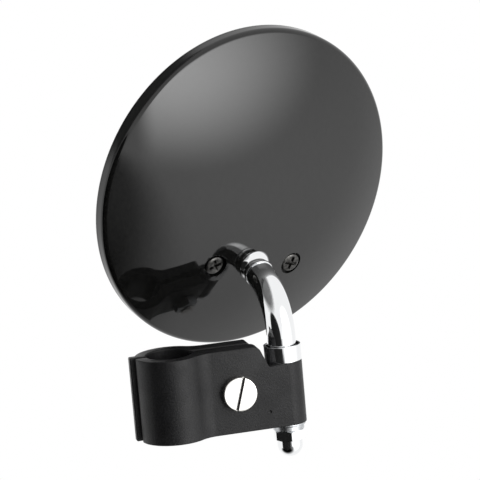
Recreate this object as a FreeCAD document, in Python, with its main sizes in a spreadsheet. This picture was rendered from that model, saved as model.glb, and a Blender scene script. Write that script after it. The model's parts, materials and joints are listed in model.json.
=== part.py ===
"""Clip-on mirror for the left edge of a scooter's legshield.

Two die-cast jaws close on the rolled bead of the legshield. A bent chrome stem stands on the front
jaw and carries a round convex mirror on a ball joint.
The frame: X runs along the clamp from the legshield to the stem, Y points away from the viewer of the
mirror's back, towards the rider, and Z is up. The origin is on the axis of the bead, at mid-height.
"""
import FreeCAD, Part
import math
import os
import Sketcher
from types import SimpleNamespace
from FreeCAD import Placement, Rotation, Vector

# Driving sizes, in millimetres and degrees
SIZES = {
    # Clamp jaws
    "clamp_height": 29.5,
    "bead_radius": 8.0,
    "bulge_wall": 4.0,
    "plate_thickness": 6.0,
    "parting_gap": 2.5,
    "sheet_gap": 2.0,
    "blend_radius": 9.0,
    "stem_pitch": 18.2,
    "lobe_radius": 6.25,
    "ledge_drop": 7.6,
    "step_run": 3.2,
    "step_round": 3.0,
    "cup_margin": 0.3,
    "jaw_end_gap": 1.75,
    "heel_length": 2.4,
    "end_slope": 4.0,
    "tongue_length": 1.6,
    "tongue_thickness": 3.0,
    "edge_round": 1.0,
    # Clamp screw and its nut
    "screw_reach": 21.8,
    "screw_drop": 0.6,
    "screw_radius": 3.0,
    "screw_head_radius": 6.0,
    "screw_head_height": 2.6,
    "screw_end": 2.0,
    "slot_width": 1.0,
    "slot_depth": 1.2,
    "slot_lean": 16.5,
    "clamp_nut_flats": 10.0,
    "clamp_nut_height": 5.0,
    # Stem, its cup and its nut
    "stem_radius": 5.0,
    "spigot_radius": 3.0,
    "bend_radius": 20.6,
    "bend_rise": 2.65,
    "bend_angle": 65.0,
    "ball_run": 10.4,
    "stem_turn": 9.8,
    "stem_chamfer": 0.6,
    "cup_radius": 6.5,
    "cup_wall": 0.8,
    "cup_floor": 1.2,
    "cup_height": 5.7,
    "washer_radius": 6.0,
    "washer_thickness": 1.0,
    "spring_washer_radius": 5.4,
    "spring_washer_wire": 1.5,
    "spring_washer_slit": 1.0,
    "nut_flats": 10.0,
    "nut_height": 10.0,
    "nut_hex_height": 3.8,
    "nut_dome_radius": 4.4,
    "nut_turn": 25.0,
    "nut_roof": 2.4,
    # Ball joint
    "ball_radius": 6.5,
    "ball_depth": 2.6,
    "ball_stand": 7.4,
    "bulb_radius": 4.6,
    "bulb_stand": 4.4,
    "collar_radius": 5.2,
    "collar_thickness": 1.2,
    "pin_radius": 3.0,
    "pin_length": 8.0,
    "seat_lip_angle": 66.0,
    "seat_depth": 0.6,
    "liner_wall": 1.2,
    "liner_angle": 42.0,
    "strap_thickness": 1.2,
    "strap_drop": 2.6,
    "strap_width": 16.0,
    "strap_end": 5.0,
    "strap_gap": 0.8,
    "strap_turn": -5.5,
    # Housing screws
    "housing_screw_spread": 33.0,
    "housing_screw_radius": 2.0,
    "housing_screw_head_radius": 3.5,
    "housing_screw_head_height": 2.1,
    "housing_screw_end": 1.4,
    "cross_width": 1.0,
    "cross_depth": 1.2,
    "recess_radius": 4.25,
    "recess_depth": 2.0,
    "pillar_wall": 2.4,
    # Mirror head
    "rim_radius": 58.8,
    "rim_wall": 5.2,
    "rim_round": 0.8,
    "dome_radius": 147.0,
    "shell_wall": 2.3,
    "ball_offset": 25.2,
    "bezel_depth": 1.5,
    "bezel_lip": 0.9,
    "bezel_cover": 5.5,
    "bezel_skirt": 1.2,
    "bezel_skirt_height": 1.7,
    "glass_thickness": 2.2,
    "glass_curve": 1200.0,
    "gasket_width": 3.0,
    # Setting of the head on its ball
    "head_turn": 19.5,
    "head_tilt": 15.0,
    "head_spin": -4.0,
    # Clearances between pieces
    "thread_clearance": 0.05,
    "running_clearance": 0.05,
    "hole_clearance": 0.2,
    "fit_clearance": 0.1,
}

doc = FreeCAD.newDocument("LegshieldMirror")
sheet = doc.addObject("Spreadsheet::Sheet", "Sizes")
for row, (alias, number) in enumerate(SIZES.items(), start=1):
    sheet.set(f"A{row}", alias)
    sheet.set(f"B{row}", str(number))
    sheet.setAlias(f"B{row}", alias)
doc.recompute()


class Term:
    """A length or a ratio: its present value, and the expression that ties it to the sheet."""

    def __init__(self, value, text):
        self.value = value
        self.text = text

    def __add__(self, other):
        other = term(other)
        return Term(self.value + other.value, f"({self.text} + {other.text})")

    def __sub__(self, other):
        other = term(other)
        return Term(self.value - other.value, f"({self.text} - {other.text})")

    def __mul__(self, other):
        other = term(other)
        return Term(self.value * other.value, f"({self.text} * {other.text})")

    def __truediv__(self, other):
        other = term(other)
        return Term(self.value / other.value, f"({self.text} / {other.text})")

    def __neg__(self):
        return Term(-self.value, f"(0 - {self.text})")


def term(number):
    """Return a plain number as a Term, and a Term as it is."""
    return number if isinstance(number, Term) else Term(float(number), repr(float(number)))


def root(square):
    return Term(math.sqrt(square.value), f"sqrt({square.text})")


def lesser(first, second):
    return Term(min(first.value, second.value), f"min({first.text}; {second.text})")


def leg(hypotenuse, other):
    """Return the other leg of a right triangle."""
    return root(hypotenuse * hypotenuse - other * other)


def sine(angle):
    return Term(math.sin(math.radians(angle.value)), f"sin({angle.text} * 1 deg)")


def cosine(angle):
    return Term(math.cos(math.radians(angle.value)), f"cos({angle.text} * 1 deg)")


s = SimpleNamespace(**{alias: Term(number, f"Sizes.{alias}") for alias, number in SIZES.items()})
ZERO = term(0)


def origin_plane(body, role):
    return next(item for item in body.Origin.OriginFeatures if item.Role == role)


def new_body(label, place=None):
    """Start a sub-part whose label names its file."""
    body = doc.addObject("PartDesign::Body", label)
    body.Label = label
    body.AllowCompound = True
    if place is not None:
        body.Placement = place
    return body


def bind(item, name, size):
    item.setExpression(name, term(size).text)


def new_sketch(body, name, role, height=ZERO):
    """Start a sketch on a plane of the body, moved along that plane's normal by height."""
    sketch = body.newObject("Sketcher::SketchObject", name)
    sketch.AttachmentSupport = (origin_plane(body, role), [""])
    sketch.MapMode = "FlatFace"
    bind(sketch, "AttachmentOffset.Base.z", height)
    return sketch


def dimension(sketch, kind, size, *where):
    index = sketch.addConstraint(Sketcher.Constraint(kind, *where, size.value))
    sketch.setExpression(f"Constraints[{index}]", size.text)


def lock_point(sketch, edge, end, u, v):
    dimension(sketch, "DistanceX", u, edge, end)
    dimension(sketch, "DistanceY", v, edge, end)


def arc_about(u, v, radius, turn):
    """Describe an arc by its centre, radius and turn: +1 runs counter-clockwise, -1 clockwise."""
    return SimpleNamespace(centre=Vector(u.value, v.value, 0), radius=radius, turn=turn)


def add_edge(sketch, start, end, arc=None):
    """Add one edge and return its number with the point numbers of its start and its end."""
    first = Vector(start[0].value, start[1].value, 0)
    last = Vector(end[0].value, end[1].value, 0)
    if arc is None:
        return sketch.addGeometry(Part.LineSegment(first, last), False), 1, 2
    if arc.turn < 0:
        first, last = last, first
    out_first = first - arc.centre
    out_last = last - arc.centre
    angle_first = math.atan2(out_first.y, out_first.x)
    angle_last = math.atan2(out_last.y, out_last.x)
    if angle_last < angle_first:
        angle_last += 2 * math.pi
    circle = Part.Circle(arc.centre, Vector(0, 0, 1), arc.radius.value)
    edge = sketch.addGeometry(Part.ArcOfCircle(circle, angle_first, angle_last), False)
    dimension(sketch, "Radius", arc.radius, edge)
    return (edge, 1, 2) if arc.turn > 0 else (edge, 2, 1)


def add_outline(sketch, *corners):
    """Close an outline through its corners: each is (u, v), or (u, v, arc) where an arc leads to it."""
    edges = []
    for index, corner in enumerate(corners):
        arc = corner[2] if len(corner) > 2 else None
        edges.append(add_edge(sketch, corners[index - 1], corner, arc))
    for index, (edge, start, end) in enumerate(edges):
        following, next_start, _ = edges[(index + 1) % len(edges)]
        sketch.addConstraint(Sketcher.Constraint("Coincident", edge, end, following, next_start))
    for corner, (edge, start, end) in zip(corners, edges):
        lock_point(sketch, edge, end, corner[0], corner[1])


def add_circle(sketch, u, v, radius):
    circle = Part.Circle(Vector(u.value, v.value, 0), Vector(0, 0, 1), radius.value)
    edge = sketch.addGeometry(circle, False)
    lock_point(sketch, edge, 3, u, v)
    dimension(sketch, "Radius", radius, edge)


def add_axis(sketch, start, end):
    """Draw a construction line that a revolution turns about."""
    first = Vector(start[0].value, start[1].value, 0)
    last = Vector(end[0].value, end[1].value, 0)
    line = sketch.addGeometry(Part.LineSegment(first, last), True)
    lock_point(sketch, line, 1, *start)
    lock_point(sketch, line, 2, *end)


def pad(body, name, sketch, length, reverse=False):
    feature = body.newObject("PartDesign::Pad", name)
    feature.Profile = sketch
    feature.Reversed = reverse
    bind(feature, "Length", length)
    return feature


def pocket(body, name, sketch, depth, reverse=False):
    feature = body.newObject("PartDesign::Pocket", name)
    feature.Profile = sketch
    feature.Reversed = reverse
    bind(feature, "Length", depth)
    return feature


def cut_through(body, name, sketch):
    """Cut the sketch through the whole body, to both sides of its plane."""
    feature = body.newObject("PartDesign::Pocket", name)
    feature.Profile = sketch
    feature.Type = "ThroughAll"
    feature.SideType = "Symmetric"
    return feature


def turn_solid(body, name, sketch, axis="V_Axis"):
    feature = body.newObject("PartDesign::Revolution", name)
    feature.Profile = sketch
    feature.ReferenceAxis = (sketch, [axis])
    return feature


def turn_cut(body, name, sketch, axis="V_Axis"):
    feature = body.newObject("PartDesign::Groove", name)
    feature.Profile = sketch
    feature.ReferenceAxis = (sketch, [axis])
    return feature


def dress(body, kind, name, amount, chosen):
    """Round (Fillet, Radius) or bevel (Chamfer, Size) the edges of the body so far that pass the test."""
    doc.recompute()
    base = body.Tip
    names = [f"Edge{n}" for n, edge in enumerate(base.Shape.Edges, start=1) if chosen(edge)]
    feature = body.newObject(f"PartDesign::{kind}", name)
    feature.Base = (base, names)
    bind(feature, "Radius" if kind == "Fillet" else "Size", amount)
    return feature


# Places that several pieces share
HALF_HEIGHT = s.clamp_height / 2
HALF_GAP = s.parting_gap / 2
HALF_SHEET = s.sheet_gap / 2
FACE = HALF_GAP + s.plate_thickness
BULGE = s.bead_radius + s.bulge_wall
BLEND_X = leg(BULGE + s.blend_radius, FACE + s.blend_radius)
BLEND_SHARE = BULGE / (BULGE + s.blend_radius)
BULGE_END = (BLEND_SHARE * BLEND_X, BLEND_SHARE * (FACE + s.blend_radius))
LEDGE = HALF_HEIGHT - s.ledge_drop
STEM_X = s.screw_reach + s.stem_pitch
STEP_FOOT = STEM_X - s.cup_radius - s.cup_margin
LOBE_SHIFT = FACE - s.lobe_radius
REAR_END = STEM_X - s.lobe_radius - s.jaw_end_gap
BACKWARD = Placement(Vector(), Rotation(Vector(1, 0, 0), -90))
MARGIN = s.plate_thickness


def is_outer_edge(edge):
    """Tell whether an edge of a jaw lies on its top or bottom, along its outside."""
    middle = edge.valueAt((edge.FirstParameter + edge.LastParameter) / 2)
    level = abs(abs(middle.z) - HALF_HEIGHT.value) < s.fit_clearance.value
    flat = abs(edge.BoundBox.ZLength) < s.fit_clearance.value
    on_bulge = abs(math.hypot(middle.x, middle.y) - BULGE.value) < s.fit_clearance.value
    beyond = math.hypot(middle.x, middle.y) > BULGE.value
    on_face = abs(middle.y) > FACE.value - s.fit_clearance.value
    return level and flat and (on_bulge or (beyond and on_face))


def front_jaw():
    """Front jaw: half of the bead's seat, a flat plate, and the round lobe that the stem stands on."""
    body = new_body("clamp_front_jaw")
    plan = new_sketch(body, "FrontPlan", "XY_Plane", -HALF_HEIGHT)
    blend_centre_v = -(FACE + s.blend_radius)
    add_outline(
        plan,
        (-leg(BULGE, HALF_SHEET), -HALF_SHEET),
        (BULGE_END[0], -BULGE_END[1], arc_about(ZERO, ZERO, BULGE, 1)),
        (BLEND_X, -FACE, arc_about(BLEND_X, blend_centre_v, s.blend_radius, -1)),
        (STEM_X, -FACE),
        (STEM_X - leg(s.lobe_radius, LOBE_SHIFT - HALF_GAP), -HALF_GAP,
         arc_about(STEM_X, -LOBE_SHIFT, s.lobe_radius, 1)),
        (leg(s.bead_radius, HALF_GAP), -HALF_GAP),
        (-leg(s.bead_radius, HALF_SHEET), -HALF_SHEET, arc_about(ZERO, ZERO, s.bead_radius, -1)),
    )
    pad(body, "FrontBlock", plan, s.clamp_height)
    step = new_sketch(body, "StepProfile", "XZ_Plane")
    slope = root(s.step_run * s.step_run + s.ledge_drop * s.ledge_drop)
    tangent = s.step_round * (slope - s.step_run) / s.ledge_drop
    round_start = STEP_FOOT - s.step_run - tangent
    round_end = STEP_FOOT - s.step_run + tangent * s.step_run / slope
    round_level = HALF_HEIGHT - tangent * s.ledge_drop / slope
    right = STEM_X + FACE + MARGIN
    add_outline(
        step,
        (STEP_FOOT, LEDGE),
        (right, LEDGE),
        (right, HALF_HEIGHT + MARGIN),
        (round_start, HALF_HEIGHT + MARGIN),
        (round_start, HALF_HEIGHT),
        (round_end, round_level, arc_about(round_start, HALF_HEIGHT - s.step_round, s.step_round, -1)),
    )
    cut_through(body, "Step", step)
    screw = new_sketch(body, "ScrewHole", "XZ_Plane")
    add_circle(screw, s.screw_reach, -s.screw_drop, s.screw_radius + s.hole_clearance)
    cut_through(body, "ScrewClearance", screw)
    bore = new_sketch(body, "StemHole", "XY_Plane")
    add_circle(bore, STEM_X, ZERO, s.spigot_radius + s.running_clearance)
    cut_through(body, "StemBore", bore)
    dress(body, "Fillet", "FrontRounds", s.edge_round, is_outer_edge)
    return body


def rear_jaw():
    """Rear jaw: the other half of the seat, a tongue along the sheet, and a heel on the front jaw."""
    body = new_body("clamp_rear_jaw")
    plan = new_sketch(body, "RearPlan", "XY_Plane", -HALF_HEIGHT)
    add_outline(
        plan,
        (-leg(BULGE, HALF_SHEET), HALF_SHEET, arc_about(ZERO, ZERO, BULGE, 1)),
        (-leg(s.bead_radius, HALF_SHEET), HALF_SHEET),
        (leg(s.bead_radius, HALF_GAP), HALF_GAP, arc_about(ZERO, ZERO, s.bead_radius, -1)),
        (REAR_END - s.heel_length, HALF_GAP),
        (REAR_END - s.heel_length, -HALF_GAP),
        (REAR_END, -HALF_GAP),
        (REAR_END, FACE),
        (BLEND_X, FACE),
        (BULGE_END[0], BULGE_END[1], arc_about(BLEND_X, FACE + s.blend_radius, s.blend_radius, -1)),
    )
    pad(body, "RearBlock", plan, s.clamp_height)
    dress(body, "Fillet", "RearRounds", s.edge_round, is_outer_edge)
    tongue = new_sketch(body, "TonguePlan", "XY_Plane", -HALF_HEIGHT)
    tongue_back = HALF_SHEET + s.tongue_thickness
    tongue_root = -leg(BULGE - s.edge_round, tongue_back)
    add_outline(
        tongue,
        (tongue_root, HALF_SHEET),
        (tongue_root, tongue_back),
        (-(BULGE + s.tongue_length), tongue_back),
        (-(BULGE + s.tongue_length), HALF_SHEET),
    )
    pad(body, "Tongue", tongue, s.clamp_height)
    corner = new_sketch(body, "EndSlope", "XZ_Plane")
    add_outline(
        corner,
        (REAR_END - s.end_slope, HALF_HEIGHT),
        (REAR_END, HALF_HEIGHT - s.end_slope),
        (REAR_END + MARGIN, HALF_HEIGHT - s.end_slope),
        (REAR_END + MARGIN, HALF_HEIGHT + MARGIN),
        (REAR_END - s.end_slope, HALF_HEIGHT + MARGIN),
    )
    cut_through(body, "EndCorner", corner)
    screw = new_sketch(body, "RearHole", "XZ_Plane")
    add_circle(screw, s.screw_reach, -s.screw_drop, s.screw_radius + s.hole_clearance)
    cut_through(body, "RearClearance", screw)
    return body


def on_screw(body):
    bind(body, "Placement.Base.x", s.screw_reach)
    bind(body, "Placement.Base.z", -s.screw_drop)
    return body


def clamp_screw():
    """Slotted screw that draws the jaws together, with its head on the front jaw's face."""
    body = on_screw(new_body("clamp_screw"))
    profile = new_sketch(body, "ScrewProfile", "YZ_Plane")
    head_top = -(FACE + s.screw_head_height)
    tip = FACE + s.clamp_nut_height + s.screw_end
    point = s.screw_radius / 4
    add_outline(
        profile,
        (head_top, ZERO),
        (tip, ZERO),
        (tip, s.screw_radius - point),
        (tip - point, s.screw_radius),
        (-FACE, s.screw_radius),
        (-FACE, s.screw_head_radius),
        (head_top + s.slot_width / 2, s.screw_head_radius),
        (head_top, s.screw_head_radius - s.slot_width / 2),
    )
    turn_solid(body, "ScrewTurned", profile, "H_Axis")
    slot = new_sketch(body, "SlotShape", "XZ_Plane", -head_top)
    lean = sine(s.slot_lean), cosine(s.slot_lean)
    reach = s.screw_head_radius * 2
    side = s.slot_width / 2
    add_outline(
        slot,
        (reach * lean[0] + side * lean[1], reach * lean[1] - side * lean[0]),
        (reach * lean[0] - side * lean[1], reach * lean[1] + side * lean[0]),
        (-(reach * lean[0] + side * lean[1]), side * lean[0] - reach * lean[1]),
        (side * lean[1] - reach * lean[0], -(reach * lean[1] + side * lean[0])),
    )
    pocket(body, "Slot", slot, s.slot_depth)
    return body


# A hexagon's turned chamfer starts just inside its flats, and this is its fall for each step outwards
CHAMFER_START = 0.94
CHAMFER_SLOPE = 0.5
HEXAGON_SIDES = 6


def add_hexagon(sketch, flats):
    """Draw a hexagon about the sketch's origin, with two corners on its horizontal axis."""
    corner = flats / math.sqrt(3)
    angles = [term(360 / HEXAGON_SIDES * step) for step in range(HEXAGON_SIDES)]
    add_outline(sketch, *[(corner * cosine(angle), corner * sine(angle)) for angle in angles])


def chamfer_hexagon(body, name, flats, level, way):
    """Turn the corners off a hexagon's end at the given level, where way points into the hexagon."""
    profile = new_sketch(body, name + "Profile", "XZ_Plane")
    inset = flats * CHAMFER_START / 2
    outset = flats
    drop = (outset - inset) * CHAMFER_SLOPE
    add_outline(
        profile,
        (inset, level),
        (outset, level + drop * way),
        (outset, level - drop * way),
        (inset, level - drop * way),
    )
    turn_cut(body, name, profile)


def clamp_nut():
    """Hexagon nut on the clamp screw, against the back of the rear jaw."""
    body = on_screw(new_body("clamp_nut", BACKWARD))
    hexagon = new_sketch(body, "ClampNutHexagon", "XY_Plane", FACE)
    add_hexagon(hexagon, s.clamp_nut_flats)
    pad(body, "ClampNutBlock", hexagon, s.clamp_nut_height)
    chamfer_hexagon(body, "ClampNutChamfer", s.clamp_nut_flats, FACE + s.clamp_nut_height, -1)
    thread = new_sketch(body, "ClampNutHole", "XY_Plane", FACE)
    add_circle(thread, ZERO, ZERO, s.screw_radius + s.thread_clearance)
    pocket(body, "ClampNutThread", thread, s.clamp_nut_height, reverse=True)
    return body


def flat_ring(label, outer, inner, bottom, thickness):
    """A flat washer whose lower face lies at the level of bottom."""
    body = new_body(label)
    ring = new_sketch(body, label + "_rings", "XY_Plane", bottom)
    add_circle(ring, ZERO, ZERO, outer)
    add_circle(ring, ZERO, ZERO, inner)
    pad(body, label + "_body", ring, thickness)
    return body


# Levels along the stem
CUP_RIM = LEDGE + s.cup_height
SHOULDER = LEDGE + s.cup_floor
BEND_START = CUP_RIM + s.bend_rise
BEND_SINE = sine(s.bend_angle)
BEND_COSINE = cosine(s.bend_angle)
BEND_END = (s.bend_radius - s.bend_radius * BEND_COSINE, BEND_START + s.bend_radius * BEND_SINE)
WASHER_FACE = -(HALF_HEIGHT + s.washer_thickness)
NUT_FACE = WASHER_FACE - s.spring_washer_wire
SPIGOT_END = NUT_FACE - s.nut_height + s.nut_roof


def on_stem(body):
    bind(body, "Placement.Base.x", STEM_X)
    return body


def along_stem(distance, off=ZERO):
    """Give a point past the end of the bend, by its distance along the stem and off its axis."""
    back = BEND_END[0] + distance * BEND_SINE - off * BEND_COSINE
    return back, BEND_END[1] + distance * BEND_COSINE + off * BEND_SINE


STEM_RUN = s.ball_run - s.ball_stand
STEM_END = along_stem(STEM_RUN)
BALL_PLACE = along_stem(s.ball_run)
STEM_ROTATION = Rotation(Vector(0, 0, 1), s.stem_turn.value)


def stem():
    """Bent chrome rod: a spigot below the shoulder, one bend, and a socket for the ball's pin."""
    body = on_stem(new_body("stem", Placement(Vector(), STEM_ROTATION)))
    path = new_sketch(body, "StemPath", "YZ_Plane")
    corners = [(ZERO, SHOULDER), (ZERO, BEND_START), BEND_END, STEM_END]
    bend = arc_about(s.bend_radius, BEND_START, s.bend_radius, -1)
    runs = [add_edge(path, corners[0], corners[1]), add_edge(path, corners[1], corners[2], bend)]
    runs.append(add_edge(path, corners[2], corners[3]))
    for (edge, _, end), (following, start, _) in zip(runs, runs[1:]):
        path.addConstraint(Sketcher.Constraint("Coincident", edge, end, following, start))
    lock_point(path, runs[0][0], runs[0][1], *corners[0])
    for (edge, _, end), corner in zip(runs, corners[1:]):
        lock_point(path, edge, end, *corner)
    section = new_sketch(body, "StemSection", "XY_Plane", SHOULDER)
    add_circle(section, ZERO, ZERO, s.stem_radius)
    doc.recompute()
    rod = body.newObject("PartDesign::AdditivePipe", "StemRod")
    rod.Profile = section
    rod.Spine = (path, ["Edge1", "Edge2", "Edge3"])
    spigot = new_sketch(body, "SpigotSection", "XY_Plane", SPIGOT_END + s.hole_clearance)
    add_circle(spigot, ZERO, ZERO, s.spigot_radius)
    pad(body, "Spigot", spigot, SHOULDER - SPIGOT_END - s.hole_clearance)
    socket = new_sketch(body, "PinSocket", "YZ_Plane")
    bottom = STEM_RUN - s.pin_length - s.hole_clearance
    wall = s.pin_radius + s.running_clearance
    add_axis(socket, along_stem(bottom), STEM_END)
    add_outline(
        socket,
        along_stem(bottom),
        STEM_END,
        along_stem(STEM_RUN, wall),
        along_stem(bottom, wall),
    )
    turn_cut(body, "Socket", socket, "Axis0")
    end = Vector(0, STEM_END[0].value, STEM_END[1].value)

    def is_mouth(edge):
        at_end = edge.CenterOfMass.distanceToPoint(end) < s.hole_clearance.value
        return at_end and edge.Length > math.pi * (s.stem_radius + s.pin_radius).value

    dress(body, "Chamfer", "StemMouth", s.stem_chamfer, is_mouth)
    return body


def stem_cup():
    """Turned chrome cup on the ledge; the stem's shoulder stands on its floor."""
    body = on_stem(new_body("stem_cup"))
    profile = new_sketch(body, "CupProfile", "XZ_Plane")
    bore = s.spigot_radius + s.hole_clearance
    inside = s.cup_radius - s.cup_wall
    add_outline(
        profile,
        (bore, LEDGE),
        (s.cup_radius, LEDGE),
        (s.cup_radius, CUP_RIM),
        (inside, CUP_RIM),
        (inside, SHOULDER),
        (bore, SHOULDER),
    )
    turn_solid(body, "CupTurned", profile)
    return body


def spring_washer():
    """Split spring washer, pressed flat by the nut."""
    bore = s.spigot_radius + s.hole_clearance
    body = flat_ring("stem_spring_washer", s.spring_washer_radius, bore, NUT_FACE, s.spring_washer_wire)
    on_stem(body)
    slit = new_sketch(body, "SlitShape", "XZ_Plane")
    lean = s.spring_washer_wire / 2
    middle = NUT_FACE + s.spring_washer_wire / 2
    left = -s.spring_washer_slit / 2
    right = s.spring_washer_slit / 2
    add_outline(
        slit,
        (left - lean, middle - s.spring_washer_wire),
        (right - lean, middle - s.spring_washer_wire),
        (right + lean, middle + s.spring_washer_wire),
        (left + lean, middle + s.spring_washer_wire),
    )
    pocket(body, "Slit", slit, s.spring_washer_radius * 2, reverse=True)
    return body


def cap_nut():
    """Domed cap nut on the spigot's end."""
    body = on_stem(new_body("cap_nut", Placement(Vector(), Rotation(Vector(0, 0, 1), s.nut_turn.value))))
    hex_end = NUT_FACE - s.nut_hex_height
    hexagon = new_sketch(body, "NutHexagon", "XY_Plane", hex_end)
    add_hexagon(hexagon, s.nut_flats)
    pad(body, "NutHex", hexagon, s.nut_hex_height)
    chamfer_hexagon(body, "NutTopChamfer", s.nut_flats, NUT_FACE, -1)
    chamfer_hexagon(body, "NutLowChamfer", s.nut_flats, hex_end, 1)
    dome = new_sketch(body, "NutDome", "XZ_Plane")
    bottom = NUT_FACE - s.nut_height
    spring_line = bottom + s.nut_dome_radius
    add_outline(
        dome,
        (ZERO, bottom),
        (s.nut_dome_radius, spring_line, arc_about(ZERO, spring_line, s.nut_dome_radius, 1)),
        (s.nut_dome_radius, hex_end + s.nut_hex_height / 2),
        (ZERO, hex_end + s.nut_hex_height / 2),
    )
    turn_solid(body, "NutCap", dome)
    bore = new_sketch(body, "NutBore", "XY_Plane", NUT_FACE)
    add_circle(bore, ZERO, ZERO, s.spigot_radius + s.thread_clearance)
    pocket(body, "NutThread", bore, s.nut_height - s.nut_roof)
    return body


# The head's two frames: the ball frame has its origin in the ball and its third axis along the hole in
# the housing, and the disc frame has its origin in the dome's centre and its third axis along the disc's
HOLE_LEAN = Term(math.degrees(math.asin(s.ball_offset.value / s.dome_radius.value)),
                 f"(asin({(s.ball_offset / s.dome_radius).text}) / 1 deg)")
BALL_FROM_CENTRE = s.dome_radius - s.ball_depth
DISC_ROTATION = (Rotation(Vector(0, 0, 1), s.head_turn.value)
                 * Rotation(Vector(1, 0, 0), 90 + s.head_tilt.value)
                 * Rotation(Vector(0, 0, 1), s.head_spin.value))
BALL_ROTATION = DISC_ROTATION * Rotation(Vector(1, 0, 0), HOLE_LEAN.value)
STEM_FRAME = Placement(Vector(STEM_X.value, 0, 0), STEM_ROTATION)
BALL_CENTRE = STEM_FRAME.multVec(Vector(0, BALL_PLACE[0].value, BALL_PLACE[1].value))
STUD_ROTATION = STEM_ROTATION * Rotation(Vector(1, 0, 0), 90 - s.bend_angle.value)
BALL_FRAME = Placement(BALL_CENTRE, BALL_ROTATION)
STRAP_FRAME = Placement(BALL_CENTRE, BALL_ROTATION * Rotation(Vector(0, 0, 1), s.strap_turn.value))
DISC_FRAME = Placement(BALL_FRAME.multVec(Vector(0, 0, -BALL_FROM_CENTRE.value)), DISC_ROTATION)

# Shared sizes of the ball joint and the head
SOCKET = s.ball_radius + s.running_clearance
LINER_OUTSIDE = SOCKET + s.liner_wall
DISH = LINER_OUTSIDE + s.running_clearance
SCREW_PLACE = s.housing_screw_spread / 2
SCREW_PLACES = [(SCREW_PLACE * side * cosine(s.strap_turn), SCREW_PLACE * side * sine(s.strap_turn))
                for side in (-1, 1)]
SCREW_SKIN = leg(s.dome_radius, SCREW_PLACE) - BALL_FROM_CENTRE
SCREW_SEAT = SCREW_SKIN - s.recess_depth
STRAP_BACK = -(s.strap_drop + s.strap_thickness)
INNER_DOME = s.dome_radius - s.shell_wall
INNER_RIM = s.rim_radius - s.shell_wall
DOME_EDGE = leg(s.dome_radius, s.rim_radius)
LIP_INSIDE = s.rim_radius - s.bezel_cover
DISH_OUTSIDE = DISH + s.strap_thickness
DISH_LOW = BALL_FROM_CENTRE * cosine(HOLE_LEAN) - DISH_OUTSIDE
GLASS_SAG = s.glass_curve - leg(s.glass_curve, LIP_INSIDE)
FRONT_LIMIT = DISH_LOW - s.strap_gap - s.glass_thickness - s.bezel_lip - s.fit_clearance + GLASS_SAG
FRONT = lesser(DOME_EDGE - s.rim_wall, FRONT_LIMIT)
WALL_END = FRONT + s.bezel_depth
SKIRT_OUTSIDE = INNER_RIM - s.fit_clearance
SKIRT_INSIDE = SKIRT_OUTSIDE - s.bezel_skirt
GLASS_RADIUS = SKIRT_INSIDE - s.fit_clearance
GLASS_EDGE = (FRONT + s.bezel_lip + s.fit_clearance
              + leg(s.glass_curve, LIP_INSIDE) - leg(s.glass_curve, GLASS_RADIUS))
GLASS_MIDDLE = GLASS_EDGE - s.glass_curve + leg(s.glass_curve, GLASS_RADIUS)


def ball_stud():
    """Chrome ball, its bulb outside the housing, a collar, and the pin that sits in the stem's end."""
    body = new_body("ball_stud", Placement(BALL_CENTRE, STUD_ROTATION))
    profile = new_sketch(body, "StudProfile", "YZ_Plane")
    squares = s.ball_radius * s.ball_radius + s.bulb_stand * s.bulb_stand - s.bulb_radius * s.bulb_radius
    waist = -(squares / s.bulb_stand / 2)
    collar = s.collar_thickness - s.ball_stand
    pin_end = -(s.ball_stand + s.pin_length)
    add_outline(
        profile,
        (s.ball_radius, ZERO),
        (waist, leg(s.ball_radius, waist), arc_about(ZERO, ZERO, s.ball_radius, 1)),
        (collar, leg(s.bulb_radius, collar + s.bulb_stand), arc_about(-s.bulb_stand, ZERO, s.bulb_radius, 1)),
        (collar, s.collar_radius),
        (-s.ball_stand, s.collar_radius),
        (-s.ball_stand, s.pin_radius),
        (pin_end, s.pin_radius),
        (pin_end, ZERO),
    )
    turn_solid(body, "StudTurned", profile, "H_Axis")
    return body


def ball_liner():
    """Nylon cap between the ball and the steel strap."""
    body = new_body("ball_liner", BALL_FRAME)
    profile = new_sketch(body, "LinerProfile", "XZ_Plane")
    out, down = sine(s.liner_angle), cosine(s.liner_angle)
    add_outline(
        profile,
        (ZERO, -LINER_OUTSIDE),
        (LINER_OUTSIDE * out, -(LINER_OUTSIDE * down), arc_about(ZERO, ZERO, LINER_OUTSIDE, 1)),
        (SOCKET * out, -(SOCKET * down)),
        (ZERO, -SOCKET, arc_about(ZERO, ZERO, SOCKET, -1)),
    )
    turn_solid(body, "LinerTurned", profile)
    return body


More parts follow.
